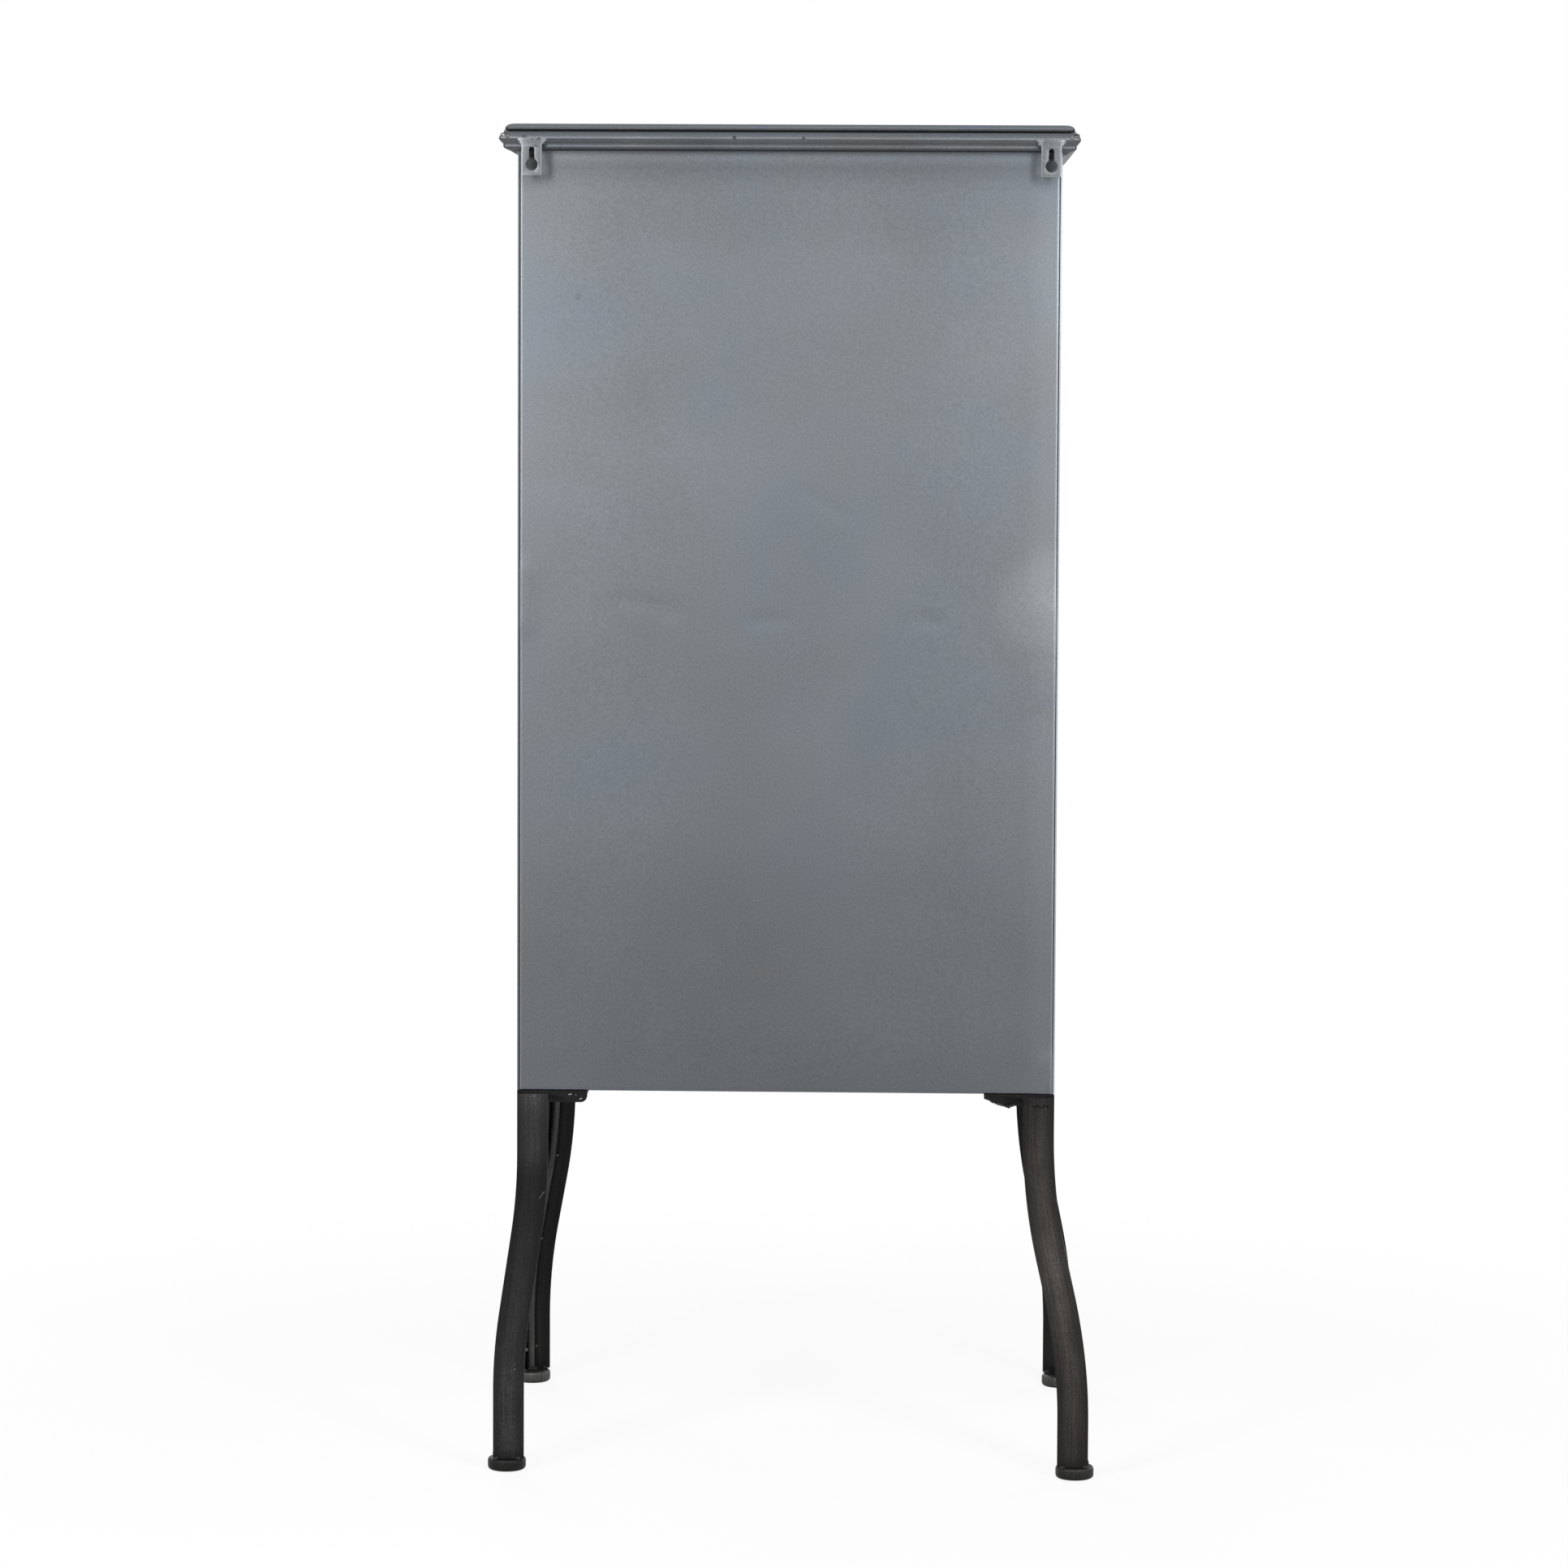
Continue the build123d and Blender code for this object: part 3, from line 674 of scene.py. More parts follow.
# ---- the cabinet ----
@dataclass
class Weld:
    """Lumpy metal left by a torch, in short runs of drops that flowed together."""

    name: str
    runs: list[Run]
    radius_mm: float = 1.3
    spacing_mm: float = 1.4
    wander_mm: float = 0.35
    seed: int = 1
    slot: str = "blackened_iron"
    drop_sizes: tuple[float, float] = (0.7, 1.25)  # smallest and largest share of the radius
    voxel: float = 0.28  # of the grid that melts the drops together, as a share of the radius

    def build(self, material: Material) -> None:
        """Lay the drops, melt them into one another, and dress them.

        Args:
            material: What the weld is dressed in.
        """
        chance = random.Random(self.seed)
        radius, spacing, wander = (
            size * MM for size in (self.radius_mm, self.spacing_mm, self.wander_mm)
        )
        drops = []
        for run in self.runs:
            for start, end in zip(run, run[1:] or run):
                start, end = Vector(start), Vector(end)
                count = round((end - start).length / spacing)
                for step in range(count + 1):
                    place = start.lerp(end, step / max(1, count))
                    place += Vector([chance.uniform(-1, 1) * wander for _ in range(3)])
                    size = radius * chance.uniform(*self.drop_sizes)
                    bpy.ops.mesh.primitive_ico_sphere_add(
                        subdivisions=2, radius=size, location=place
                    )
                    drops.append(bpy.context.object)
        weld = join(drops)
        settle(weld)
        modify(weld, "REMESH", mode="VOXEL", voxel_size=radius * self.voxel)
        modify(weld, "SMOOTH", factor=0.5, iterations=2)
        finish_piece(weld, self.name, material, angle=80)


@dataclass
class BackPanel:
    """Back sheet: folded forward all round, a little crowned, with knocks and creases."""

    half_width: float = 0.2168
    low: float = 0.310
    high: float = 1.0883
    face: float = 0.170
    fold_back: float = 0.012
    fold_radius: float = 0.002
    sheet: float = 0.0012
    columns: int = 120
    rows: int = 214
    crown: float = 0.0016
    waves: float = 0.0011
    wave_size: float = 0.16
    dent_depth: float = 0.0004
    bulge_height: float = 0.0012
    # each knock or crease: its two ends in x and z, its half width, and how strong it is
    dents: Marks = (
        (0.1346, 0.7098, 0.1020, 0.7040, 0.0060, 0.7),
        (0.1000, 0.7035, 0.0960, 0.7000, 0.0070, 0.9),
        (0.0260, 0.6925, 0.0020, 0.6932, 0.0060, 0.7),
        (-0.0122, 0.7976, -0.0450, 0.7782, 0.0045, 0.5),
        (-0.0795, 1.0050, -0.0800, 0.9900, 0.0050, 0.6),
        (-0.0826, 0.4998, -0.0832, 0.4074, 0.0060, 0.6),
        (-0.1080, 0.6950, -0.1180, 0.6920, 0.0060, 0.7),
    )
    bulges: Marks = (
        (-0.2080, 0.6950, -0.2070, 0.6800, 0.0220, 1.0),
        (-0.2080, 0.6500, -0.2070, 0.6400, 0.0240, 0.6),
        (-0.2080, 0.6100, -0.2070, 0.6000, 0.0240, 0.3),
        (-0.2130, 0.3350, -0.2130, 0.3160, 0.0080, 0.8),
        (0.2130, 0.7300, 0.2130, 0.6900, 0.0100, 0.5),
    )

    def inside(self, place: Vector) -> float:
        """Say how far a place is from the folds, from 0 at them to 1 in the middle.

        Args:
            place: The place on the sheet.

        Returns:
            A weight from 0 to 1.
        """
        middle = (self.low + self.high) / 2
        across = 1 - (place.x / self.half_width) ** 2
        up = 1 - ((place.z - middle) / (self.high - middle)) ** 8
        return max(0.0, across) * max(0.0, up)

    def mark(self, place: Vector, marks: Marks) -> float:
        """Say how strongly the nearest of some marks works at a place.

        Args:
            place: The place on the sheet.
            marks: The marks, as in the fields.

        Returns:
            A weight from 0 to 1.
        """
        strongest = 0.0
        here = Vector((place.x, place.z))
        for x0, z0, x1, z1, width, strength in marks:
            start, along = Vector((x0, z0)), Vector((x1 - x0, z1 - z0))
            share = max(0.0, min(1.0, (here - start).dot(along) / along.length_squared))
            distance = (here - start - share * along).length
            strongest = max(strongest, strength * math.exp(-((distance / width) ** 2)))
        return strongest

    def build(self, material: Material) -> None:
        """Fold, crown and knock the sheet, and dress it.

        Args:
            material: What the sheet is dressed in.
        """
        bpy.ops.mesh.primitive_grid_add(
            x_subdivisions=self.columns,
            y_subdivisions=self.rows,
            size=1.0,
            location=(0, self.face, (self.low + self.high) / 2),
            rotation=(-math.pi / 2, 0, 0),
        )
        panel = bpy.context.object
        panel.scale = (2 * self.half_width, self.high - self.low, 1)
        settle(panel)
        flat = weigh(panel, "flat", self.inside)
        knocks = weigh(panel, "dents", lambda v: self.mark(v, self.dents))
        swells = weigh(panel, "bulges", lambda v: self.mark(v, self.bulges))
        ripple = bpy.data.textures.new("ripple", "CLOUDS")
        ripple.noise_scale = self.wave_size
        ripple.noise_depth = 1
        for group, level, strength, more in (
            (flat, 0.0, self.crown, {}),
            (flat, 0.5, self.waves, {"texture": ripple, "texture_coords": "LOCAL"}),
            (knocks, 0.0, -self.dent_depth, {}),
            (swells, 0.0, self.bulge_height, {}),
        ):
            more |= {"direction": "Y", "space": "LOCAL", "mid_level": level}
            modify(panel, "DISPLACE", vertex_group=group, strength=strength, **more)
        open_mesh(panel)
        bpy.ops.mesh.select_all(action="SELECT")
        bpy.ops.mesh.region_to_loop()
        back = {"value": (0, -self.fold_back, 0)}
        bpy.ops.mesh.extrude_region_move(TRANSFORM_OT_translate=back)
        self.pick_folds(panel)
        bpy.ops.mesh.bevel(offset=self.fold_radius, segments=4, affect="EDGES")
        face_outwards()
        close_mesh()
        modify(panel, "SOLIDIFY", thickness=self.sheet, offset=-1.0)
        finish_piece(panel, "back_sheet", material, ("back_panel",), angle=50)

    def pick_folds(self, panel: Object) -> None:
        """Select the edges along which the sheet is folded.

        Args:
            panel: The sheet in edit mode.
        """
        reach, front = self.half_width - HAIR, self.face - self.fold_back / 2

        def rims(place: Vector) -> tuple[bool, ...]:
            """Say on which of the sheet's four rims a place on its face lies.

            Args:
                place: The place.

            Returns:
                Whether it lies on the right, left, upper and lower rim.
            """
            x, y, z = place
            sides = (x > reach, x < -reach, z > self.high - HAIR, z < self.low + HAIR)
            return tuple(y > front and side for side in sides)

        pick_edges(panel, lambda a, b: any(p and q for p, q in zip(rims(a), rims(b))))


@dataclass
class CaseShell:
    """Sides, top, bottom and front frame, folded from sheet."""

    nodes: tuple[str, ...] = (
        "side_panel_right", "bottom_panel", "bottom_rail", "top_rail", "front_rails",
    )
    # painted highlights on the back: along its folded side edges and bottom fold, and broad lighter
    # strips towards both sides
    back_margins: Marks = (
        (0, 0.2143, 0.2152, 1.45),
        (0, -0.2143, -0.2152, 1.5),
        (0, 0.12, 0.2168, 1.1),
        (0, -0.12, -0.2168, 1.1),
        (0, -0.190, -0.206, 1.1),
        (2, 0.3122, 0.3112, 1.3),
    )
    # painted shade by height on the back: darker towards the bottom and in a band just under the
    # cornice
    back_heights: Stops = (
        (0.310, 0.78), (0.391, 0.82), (0.463, 0.87), (0.535, 0.92), (0.607, 0.95), (0.751, 0.95),
        (0.823, 0.97), (0.895, 0.94), (0.967, 0.89), (1.034, 0.81), (1.042, 0.77), (1.050, 0.70),
        (1.0565, 0.63), (1.0605, 0.71), (1.0630, 0.78), (1.0655, 0.86), (1.070, 0.86),
    )
    # painted shade behind each hanger and its keyhole, a painted highlight where the sheet bulges
    # near its left edge, and one small dark spot
    back_spots: Spots = (
        ((0.2066, 0.170, 1.0600), 0.0090, 0.4),
        ((-0.2085, 0.170, 1.0600), 0.0090, 0.4),
        ((0.2058, 0.170, 1.0675), 0.0065, 0.2),
        ((-0.2088, 0.170, 1.0675), 0.0065, 0.2),
        ((-0.2168, 0.170, 0.7050), 0.0600, 1.22),
        ((0.1697, 0.1715, 0.9522), 0.0040, 0.88),
    )
    # painted highlight along the left side panel's rear edge: axis, where it starts and is full,
    # and its factor
    side_margins: Marks = ((1, 0.1675, 0.1690, 2.4),)

    def build(self, top: Material) -> None:
        """Make the back sheet and dress the rest of the case.

        Args:
            top: What the top panel is dressed in.
        """
        back = SheetSteel(
            "clear_lacquered_back_sheet",
            margins=self.back_margins,
            heights=self.back_heights,
            spots=self.back_spots,
        )
        BackPanel().build(back.make())
        dress(self.nodes, SheetSteel("clear_lacquered_sheet_steel").make())
        # the left side panel gets a painted highlight along its rear edge
        edged = SheetSteel("clear_lacquered_sheet_steel_rubbed_edge", margins=self.side_margins)
        dress(["side_panel_left"], edged.make())
        dress(["top_panel"], top)


@dataclass
class Cornice:
    """Pressed moulding round the top, mitred, its corners brazed and filed round."""

    half_width: float = 0.218
    half_depth: float = 0.170
    top: float = 1.0905
    inner: float = -0.012  # how far the flat on top reaches in from the case
    sheet: float = 0.001
    corner_radius: float = 0.0022
    # how far each point of the moulding stands out at the sides and at the rear, and how far
    # it lies below the top, in mm
    profile: tuple[Point, ...] = (
        (3.0, 3.0, 0.0), (5.4, 5.4, 0.3), (7.3, 7.3, 1.0), (8.7, 8.7, 2.0), (9.5, 9.5, 3.3),
        (9.7, 9.7, 4.4), (9.3, 9.3, 5.3), (9.1, 9.1, 6.0), (9.5, 9.5, 6.8), (10.8, 10.8, 7.7),
        (12.4, 12.4, 8.7), (13.6, 13.6, 9.9), (14.2, 14.2, 11.2), (14.3, 14.3, 12.4),
        (13.8, 13.8, 13.6), (12.9, 12.9, 14.7), (11.9, 11.9, 15.7), (11.2, 11.2, 16.5),
        (11.0, 11.0, 17.2), (11.1, 11.1, 17.9), (11.1, 11.2, 18.7), (10.5, 10.9, 19.6),
        (9.2, 10.1, 20.5), (7.6, 8.8, 21.2), (6.4, -0.6, 21.5), (3.4, -0.6, 23.3),
        (0.6, -0.6, 25.0), (-0.6, -0.6, 25.0), (-0.6, -0.6, 1.0), (-12.0, -12.0, 1.0),
    )
    # painted shade and reflection by height: dark in the hollows and darkest along the top moulding
    heights: Stops = (
        (1.0650, 0.75), (1.0690, 0.72), (1.0704, 0.85), (1.0717, 0.62), (1.0730, 0.6),
        (1.0744, 1.0), (1.0762, 1.0), (1.0778, 0.64), (1.0795, 0.78), (1.0808, 0.92),
        (1.0821, 0.6), (1.0834, 0.12), (1.0848, 0.05), (1.0861, 0.36), (1.0874, 0.32),
        (1.0888, 0.06), (1.0905, 0.06),
    )
    # chips in the lacquer of the rear length, pale or filled with wax, and painted shade on the
    # cornice behind the keyholes
    chips_and_keyhole_shade: Spots = (
        ((-0.0499, 0.1812, 1.0687), 0.0017, 2.2),
        ((0.0439, 0.1843, 1.0795), 0.0020, 0.3),
        ((-0.0111, 0.1843, 1.0793), 0.0018, 0.4),
        ((0.2120, 0.1843, 1.0812), 0.0030, 0.35),
        ((0.2058, 0.1800, 1.0710), 0.0050, 0.15),
        ((-0.2088, 0.1800, 1.0710), 0.0050, 0.15),
    )

    def draw_out(self) -> Object:
        """Draw the moulding out step by step round the case, and stay in edit mode.

        Returns:
            The moulding, with its two inner loops still apart.
        """
        size_x = 2 * (self.half_width + self.inner)
        size_y = 2 * (self.half_depth + self.inner)
        bpy.ops.mesh.primitive_plane_add(size=1.0, location=(0, 0, self.top))
        ring = bpy.context.object
        ring.scale = (size_x, size_y, 1)
        settle(ring)
        open_mesh(ring)
        bpy.ops.mesh.select_all(action="SELECT")
        bpy.ops.mesh.delete(type="ONLY_FACE")
        bpy.ops.mesh.select_all(action="SELECT")
        centre_y, height = 0.0, self.top
        for point in self.profile:
            side, rear, down = (part * MM for part in point)
            next_x = 2 * (self.half_width + side)
            next_y = 2 * self.half_depth + side + rear
            next_centre = (rear - side) / 2
            step = (0, next_centre - centre_y, self.top - down - height)
            bpy.ops.mesh.extrude_edges_move(TRANSFORM_OT_translate={"value": step})
            centre_y, height = next_centre, self.top - down
            bpy.ops.transform.resize(
                value=(next_x / size_x, next_y / size_y, 1), center_override=(0, centre_y, height)
            )
            size_x, size_y = next_x, next_y
        return ring

    def build(self, flat: Material) -> None:
        """Draw out the moulding, close it, round its mitres, and dress it and its flat.

        Args:
            flat: What its faces that look up are dressed in.
        """
        ring = self.draw_out()
        edge = self.half_width + self.inner + HAIR
        low = self.top - 1.1 * self.sheet

        def on_inner_loop(a: Vector, b: Vector) -> bool:
            """Say whether an edge belongs to one of the two loops that still have to be joined."""
            return abs(a.z - b.z) < HAIR and max(abs(a.x), abs(b.x)) < edge and a.z > low

        pick_edges(ring, on_inner_loop)
        bpy.ops.mesh.bridge_edge_loops()
        face_outwards()
        outer = self.half_width + 0.001
        longest = 0.02  # a step along a mitre is shorter than this, an edge along a side longer

        def on_mitre(a: Vector, b: Vector) -> bool:
            """Say whether an edge runs along a mitre on the outside of the moulding."""
            short = max(abs(a.x - b.x), abs(a.y - b.y)) <= longest
            return short and min(abs(a.x), abs(b.x)) > outer

        pick_edges(ring, on_mitre)
        bpy.ops.mesh.bevel(
            offset=self.corner_radius, segments=4, affect="EDGES", clamp_overlap=True
        )
        close_mesh()
        finish = SheetSteel(
            "clear_lacquered_pressed_steel", "6a6d70", "606366", "61666d", "656361",
            roughness=0.5, coat=0.1, cloud_mm=70.0, grain_mm=1.9, grain_contrast=0.12,
            speck_mm=16.0, speck_size_mm=0.8, heights=self.heights, spots=self.chips_and_keyhole_shade,
        )
        nodes = tuple(f"cornice_{side}" for side in ("front", "rear", "left", "right"))
        finish_piece(ring, "cornice", finish.make(), nodes, angle=34)
        dress_faces(ring, flat, lambda normal: normal.z > 0.5)


@dataclass
class Hangers:
    """Two keyhole plates with flared tops, brazed to the cornice."""

    centres: tuple[float, float] = (0.2058, -0.2088)
    face: float = 0.18465
    sheet: float = 0.0015
    low: float = 1.0488
    width: float = 0.0162
    shoulder: float = 0.0233  # height at which the plate starts to flare
    # height above the shoulder and width there
    flare: Stops = (
        (0.0008, 0.0165), (0.0020, 0.0176), (0.0034, 0.0193), (0.0048, 0.0211), (0.0062, 0.0230),
    )
    corner: float = 0.001
    rim_round: float = 0.00028
    rim_insets: tuple[float, float] = (0.0012, 0.0005)  # where the painted highlight along the rims starts and is full
    seam_out: float = 0.0005  # of the braze along the top, from the plate's back
    seam_drop: float = 0.0008
    seam_foot: tuple[float, float] = (0.002, 0.004)  # where it ends, in from the flare's tip
    hole_rise: float = 0.0085
    hole_radius: float = 0.00485
    slot_width: float = 0.0043
    slot_top: float = 0.0227
    through: float = 0.01  # depth of the cutting tools
    # drops of braze on the plates, in x and z
    drops: tuple[Stops, ...] = (
        ((0.2052, 1.0778),),
        ((0.2000, 1.0782),),
        ((0.2036, 1.0726), (0.2020, 1.0722)),
        ((-0.2040, 1.0766),),
        ((-0.2072, 1.0728), (-0.2060, 1.0735)),
        ((-0.2012, 1.0622), (-0.2032, 1.0606)),
    )

    def plate(self) -> Object:
        """Model one plate about x = 0.

        Returns:
            The plate.
        """
        bpy.ops.mesh.primitive_plane_add(
            size=1.0,
            location=(0, self.face, self.low + self.shoulder / 2),
            rotation=(-math.pi / 2, 0, 0),
        )
        plate = bpy.context.object
        plate.scale = (self.width, self.shoulder, 1)
        settle(plate)
        open_mesh(plate)
        level, width, reached = self.low + self.shoulder, self.width, 0.0
        pick_edges(plate, lambda a, b: min(a.z, b.z) > level - HAIR)
        for rise, wide in self.flare:
            step = {"value": (0, 0, rise - reached)}
            bpy.ops.mesh.extrude_edges_move(TRANSFORM_OT_translate=step)
            bpy.ops.transform.resize(
                value=(wide / width, 1, 1), center_override=(0, self.face, level + rise)
            )
            reached, width = rise, wide
        face_outwards()
        close_mesh()
        modify(plate, "SOLIDIFY", thickness=self.sheet, offset=1.0)
        open_mesh(plate)
        low, half = self.low + HAIR, self.width / 2 - HAIR

        def at_low_corner(a: Vector, b: Vector) -> bool:
            """Say whether an edge crosses the plate's thickness at one of its lower corners."""
            return max(a.z, b.z) < low and abs(a.x - b.x) < HAIR and abs(a.x) > half

        pick_edges(plate, at_low_corner)
        bpy.ops.mesh.bevel(offset=self.corner, segments=4, affect="EDGES")
        face_outwards()
        close_mesh()
        middle = self.face + self.sheet / 2
        slot_end = self.slot_top - self.slot_width / 2
        for radius, rise in ((self.hole_radius, self.hole_rise), (self.slot_width / 2, slot_end)):
            bpy.ops.mesh.primitive_cylinder_add(
                vertices=40,
                radius=radius,
                depth=self.through,
                location=(0, middle, self.low + rise),
                rotation=(math.pi / 2, 0, 0),
            )
            cut(plate, bpy.context.object)
        bpy.ops.mesh.primitive_cube_add(
            size=1.0, location=(0, middle, self.low + (self.hole_rise + slot_end) / 2)
        )
        slot = bpy.context.object
        slot.scale = (self.slot_width, self.through, slot_end - self.hole_rise)
        cut(plate, slot)
        sharp = {"limit_method": "ANGLE", "angle_limit": math.radians(50)}
        modify(plate, "BEVEL", width=self.rim_round, segments=3, **sharp)
        return plate

    def build(self, braze: Material, edge_shade: Material) -> None:
        """Model one plate, copy it for the other side, paint shade on their edges, and braze both
        on.

        Args:
            braze: What the brazing is dressed in.
            edge_shade: Painted shade that the walls round the plates and their keyholes are dressed
                in.
        """
        first = self.plate()
        start, full = (self.width / 2 - inset for inset in self.rim_insets)
        for name, centre in zip(("right", "left"), self.centres):
            # painted highlights along the plate's two sides and its bottom rim
            rims = (
                (0, centre + start, centre + full, 1.5),
                (0, centre - start, centre - full, 1.5),
                (2, *(self.low + inset for inset in self.rim_insets), 1.3),
            )
            finish = SheetSteel(
                f"clear_lacquered_strip_steel_{name}", "686b6e", "5e6164", "5f646a", "646361",
                roughness=0.44, cloud_mm=14.0, grain_mm=1.1, speck_mm=9.0, speck_size_mm=0.5,
                margins=rims,
            ).make()
            twin, node = copy_of(first, (centre, 0, 0)), f"hanger_{name}"
            finish_piece(twin, f"keyhole_{node}", finish, (node,), angle=25)
            # painted shade: the walls round each plate and its keyhole are dressed near-black
            dress_faces(twin, edge_shade, lambda normal: abs(normal.y) < 0.5)
        bpy.data.objects.remove(first)
        rise, wide = self.flare[-1]
        top, half, seam = self.low + self.shoulder + rise, wide / 2, self.face + self.seam_out
        in_x, down = self.seam_foot
        runs: list[Run] = []
        for centre in self.centres:
            ends = [(centre + sign * half, seam, top - self.seam_drop) for sign in (1, -1)]
            runs.append(ends)
            for sign, end in zip((1, -1), ends):
                runs.append([end, (centre + sign * (half - in_x), seam, top - down)])
        Weld("hanger_seams", runs, 0.95, 0.9, seed=4, slot="trim_steel").build(braze)
        drops = on_plane(self.drops, self.face + self.sheet)
        Weld("braze_drops", drops, 0.62, 0.6, 0.15, 9, "trim_steel").build(braze)


@dataclass
class CornerBraze:
    """Lumps of braze where the cornice's rear mitres were filled."""

    reach_x: float = 0.218
    reach_y: float = 0.170
    # how far out and how high each lump lies on the mitre, and how deep it sits
    lumps: Stops = ((0.0104, 1.0841), (0.0128, 1.0812), (0.0104, 1.0742))
    sunk: float = 0.0012
    # how far in along X, out along Y and up the braze on the bead starts and ends
    bead_run: tuple[Point, Point] = ((0.0015, -0.0015, 0.0), (0.006, 0.0004, -0.0012))

    def build(self, braze: Material) -> None:
        """Lay the lumps down both rear mitres, and a run of braze along the rear bead.

        Args:
            braze: What the lumps are dressed in.
        """
        runs: list[Run] = []
        for sign in (1, -1):
            for out, height in self.lumps:
                x, y = sign * (self.reach_x + out), self.reach_y + out
                runs.append([(x - sign * self.sunk, y - self.sunk, height)])
            out, height = self.lumps[1]
            x, y = self.reach_x + out, self.reach_y + out
            runs.append([(sign * (x - a), y + b, height + c) for a, b, c in self.bead_run])
        Weld("cornice_mitre_braze", runs, 1.9, 1.2, seed=12, slot="trim_steel").build(braze)


@dataclass
class Stand:
    """Four bent legs with their bars and feet, and the brackets under the case.

    A field with one row for each corner has them in the order of Corner.
    """

    half_width: float = 0.218
    half_depth: float = 0.170
    flange: float = 0.025
    rod_inset: float = 0.0083
    rod_radius: float = 0.004
    bend_high: float = 0.225
    bend_low: float = 0.098
    bend_radius: float = 0.320
    foot_top: float = 0.010
    foot_radius: float = 0.0155
    foot_inset: float = 0.0105
    foot_top_round: float = 0.0026
    foot_sole_round: float = 0.003
    # the torn edge of the left rear bracket's lip, in x and z, and the tool that tears it
    torn: tuple[tuple[float, float], tuple[float, float]] = ((-0.1600, 0.3066), (-0.1800, 0.2990))
    wedge: Point = (0.03, 0.012, 0.012)
    # metal that melted on the torn edge, in x and z
    torn_runs: tuple[Stops, ...] = (
        ((-0.1665, 0.3040), (-0.1740, 0.3015), (-0.1815, 0.2992)),
        ((-0.1815, 0.2995), (-0.1842, 0.3008), (-0.1870, 0.3012)),
    )
    torn_sunk: float = 0.0006
    torn_drift: float = 0.001  # how far forward the last of it ran, onto the leg
    # each foot's black, the grey it is rubbed to, and how far it is rubbed; the front feet, which
    # the case shades, are painted lighter than the rear ones, as painted light
    foot_iron: tuple[tuple[str, str, float], ...] = (
        ("151515", "2c2b2a", 0.45),
        ("1a1a1a", "403f3e", 0.45),
        ("222222", "727170", 0.55),
        ("222222", "5e5d5c", 0.55),
    )
    # painted light by height on each foot: dark at the sole and across the top where the leg shades
    # it, and a painted highlight band on the rounded top edge
    foot_tones: Stops = (
        (0.0, 0.2), (0.0012, 0.25), (0.0026, 0.6), (0.0060, 0.7), (0.0086, 0.95), (0.0096, 0.4),
        (0.0102, 0.1),
    )
    # each leg's black and the grey it is rubbed to: the left rear one is a little browner
    leg_iron: tuple[tuple[str, str], ...] = (
        ("191919", "484848"), ("1d1b1a", "57514d"), ("191919", "484848"), ("191919", "484848"),
    )
    # each leg's lightness by height; the front legs, in the case's shadow, stay dark all the way
    # down as painted shade
    leg_tones: tuple[Stops, ...] = (
        (
            (0.010, 0.2), (0.0125, 0.35), (0.020, 0.6), (0.07, 0.62), (0.16, 0.28), (0.235, 0.18),
            (0.27, 0.62), (0.31, 1.0),
        ),
        (
            (0.010, 0.2), (0.0125, 0.3), (0.020, 0.45), (0.07, 0.5), (0.16, 0.68), (0.24, 0.5),
            (0.28, 0.42), (0.295, 0.36), (0.31, 0.28),
        ),
        ((0.010, 0.2), (0.02, 0.25), (0.15, 0.2), (0.31, 0.2)),
        ((0.010, 0.2), (0.02, 0.4), (0.15, 0.45), (0.29, 0.1), (0.31, 0.1)),
    )
    # runs of weld between each leg and its foot, in from the leg's outer faces, in mm
    foot_runs: tuple[Stops, ...] = (
        ((1.2, -0.2), (3.4, -0.2)),
        ((19.2, -0.2), (21.6, -0.2)),
        ((-0.2, 19.4), (-0.2, 21.6)),
        ((4.4, 20.2), (4.4, 22.4)),
        ((20.2, 4.4), (22.4, 4.4)),
        ((13.5, 6.5), (13.0, 12.5), (6.5, 13.5)),
    )
    weld_rise: float = 0.0006  # of a weld's middle above the foot
    tack_heights: tuple[float, ...] = (0.2035, 0.1265, 0.030)
    tack_inset: float = 0.0048  # from the leg's outer face, just inside its flange
    tack_out: float = 0.0006  # of a tack's middle from the bar
    tack_drop: float = 0.002  # between the two tacks at one height
    # the dark crack where the left rear leg meets its bracket, in x and z
    seam: Stops = (
        (-0.2006, 0.3002), (-0.2030, 0.2996), (-0.2046, 0.3012), (-0.2062, 0.2996),
        (-0.2086, 0.2995), (-0.2102, 0.3010), (-0.2118, 0.3008), (-0.2131, 0.2994),
    )
    # pale flecks on the right rear bracket, in x and z, and on the leg, in from its side face
    flecks: tuple[Stops, ...] = (
        ((0.1760, 0.3068), (0.1738, 0.3070)),
        ((0.1700, 0.3062),),
        ((0.1672, 0.3030), (0.1655, 0.3036)),
        ((0.1622, 0.3025),),
        ((0.2040, 0.3052),),
    )
    leg_flecks: Stops = ((0.0170, 0.0880), (0.0175, 0.0840))
    # ends of the bright scratch on the right rear leg, in from its side face and in height
    scratch: Stops = ((0.0196, 0.2212), (0.0232, 0.2270))
    proud: float = 0.0001  # how far small marks stand out of the face they lie on

    def stepped_out(self, corner: Corner, height: float) -> float:
        """Say how far a leg has stepped outwards at a height.

        Args:
            corner: Which leg.
            height: Height above the floor.

        Returns:
            The step along X, which is the same along Y.
        """
        splay = corner.value[2]
        run = self.bend_high - self.bend_low
        turn = math.atan(splay * math.sqrt(2) / run)
        reach = self.bend_radius * math.tan(turn / 2)
        curve = 2 * self.bend_radius * math.sqrt(2)
        if height > self.bend_high + reach:
            return 0.0
        if height > self.bend_high - reach * math.cos(turn):
            return (self.bend_high + reach - height) ** 2 / curve
        if height > self.bend_low + reach * math.cos(turn):
            return (self.bend_high - height) * splay / run
        if height > self.bend_low - reach:
            return splay - (height - (self.bend_low - reach)) ** 2 / curve
        return splay

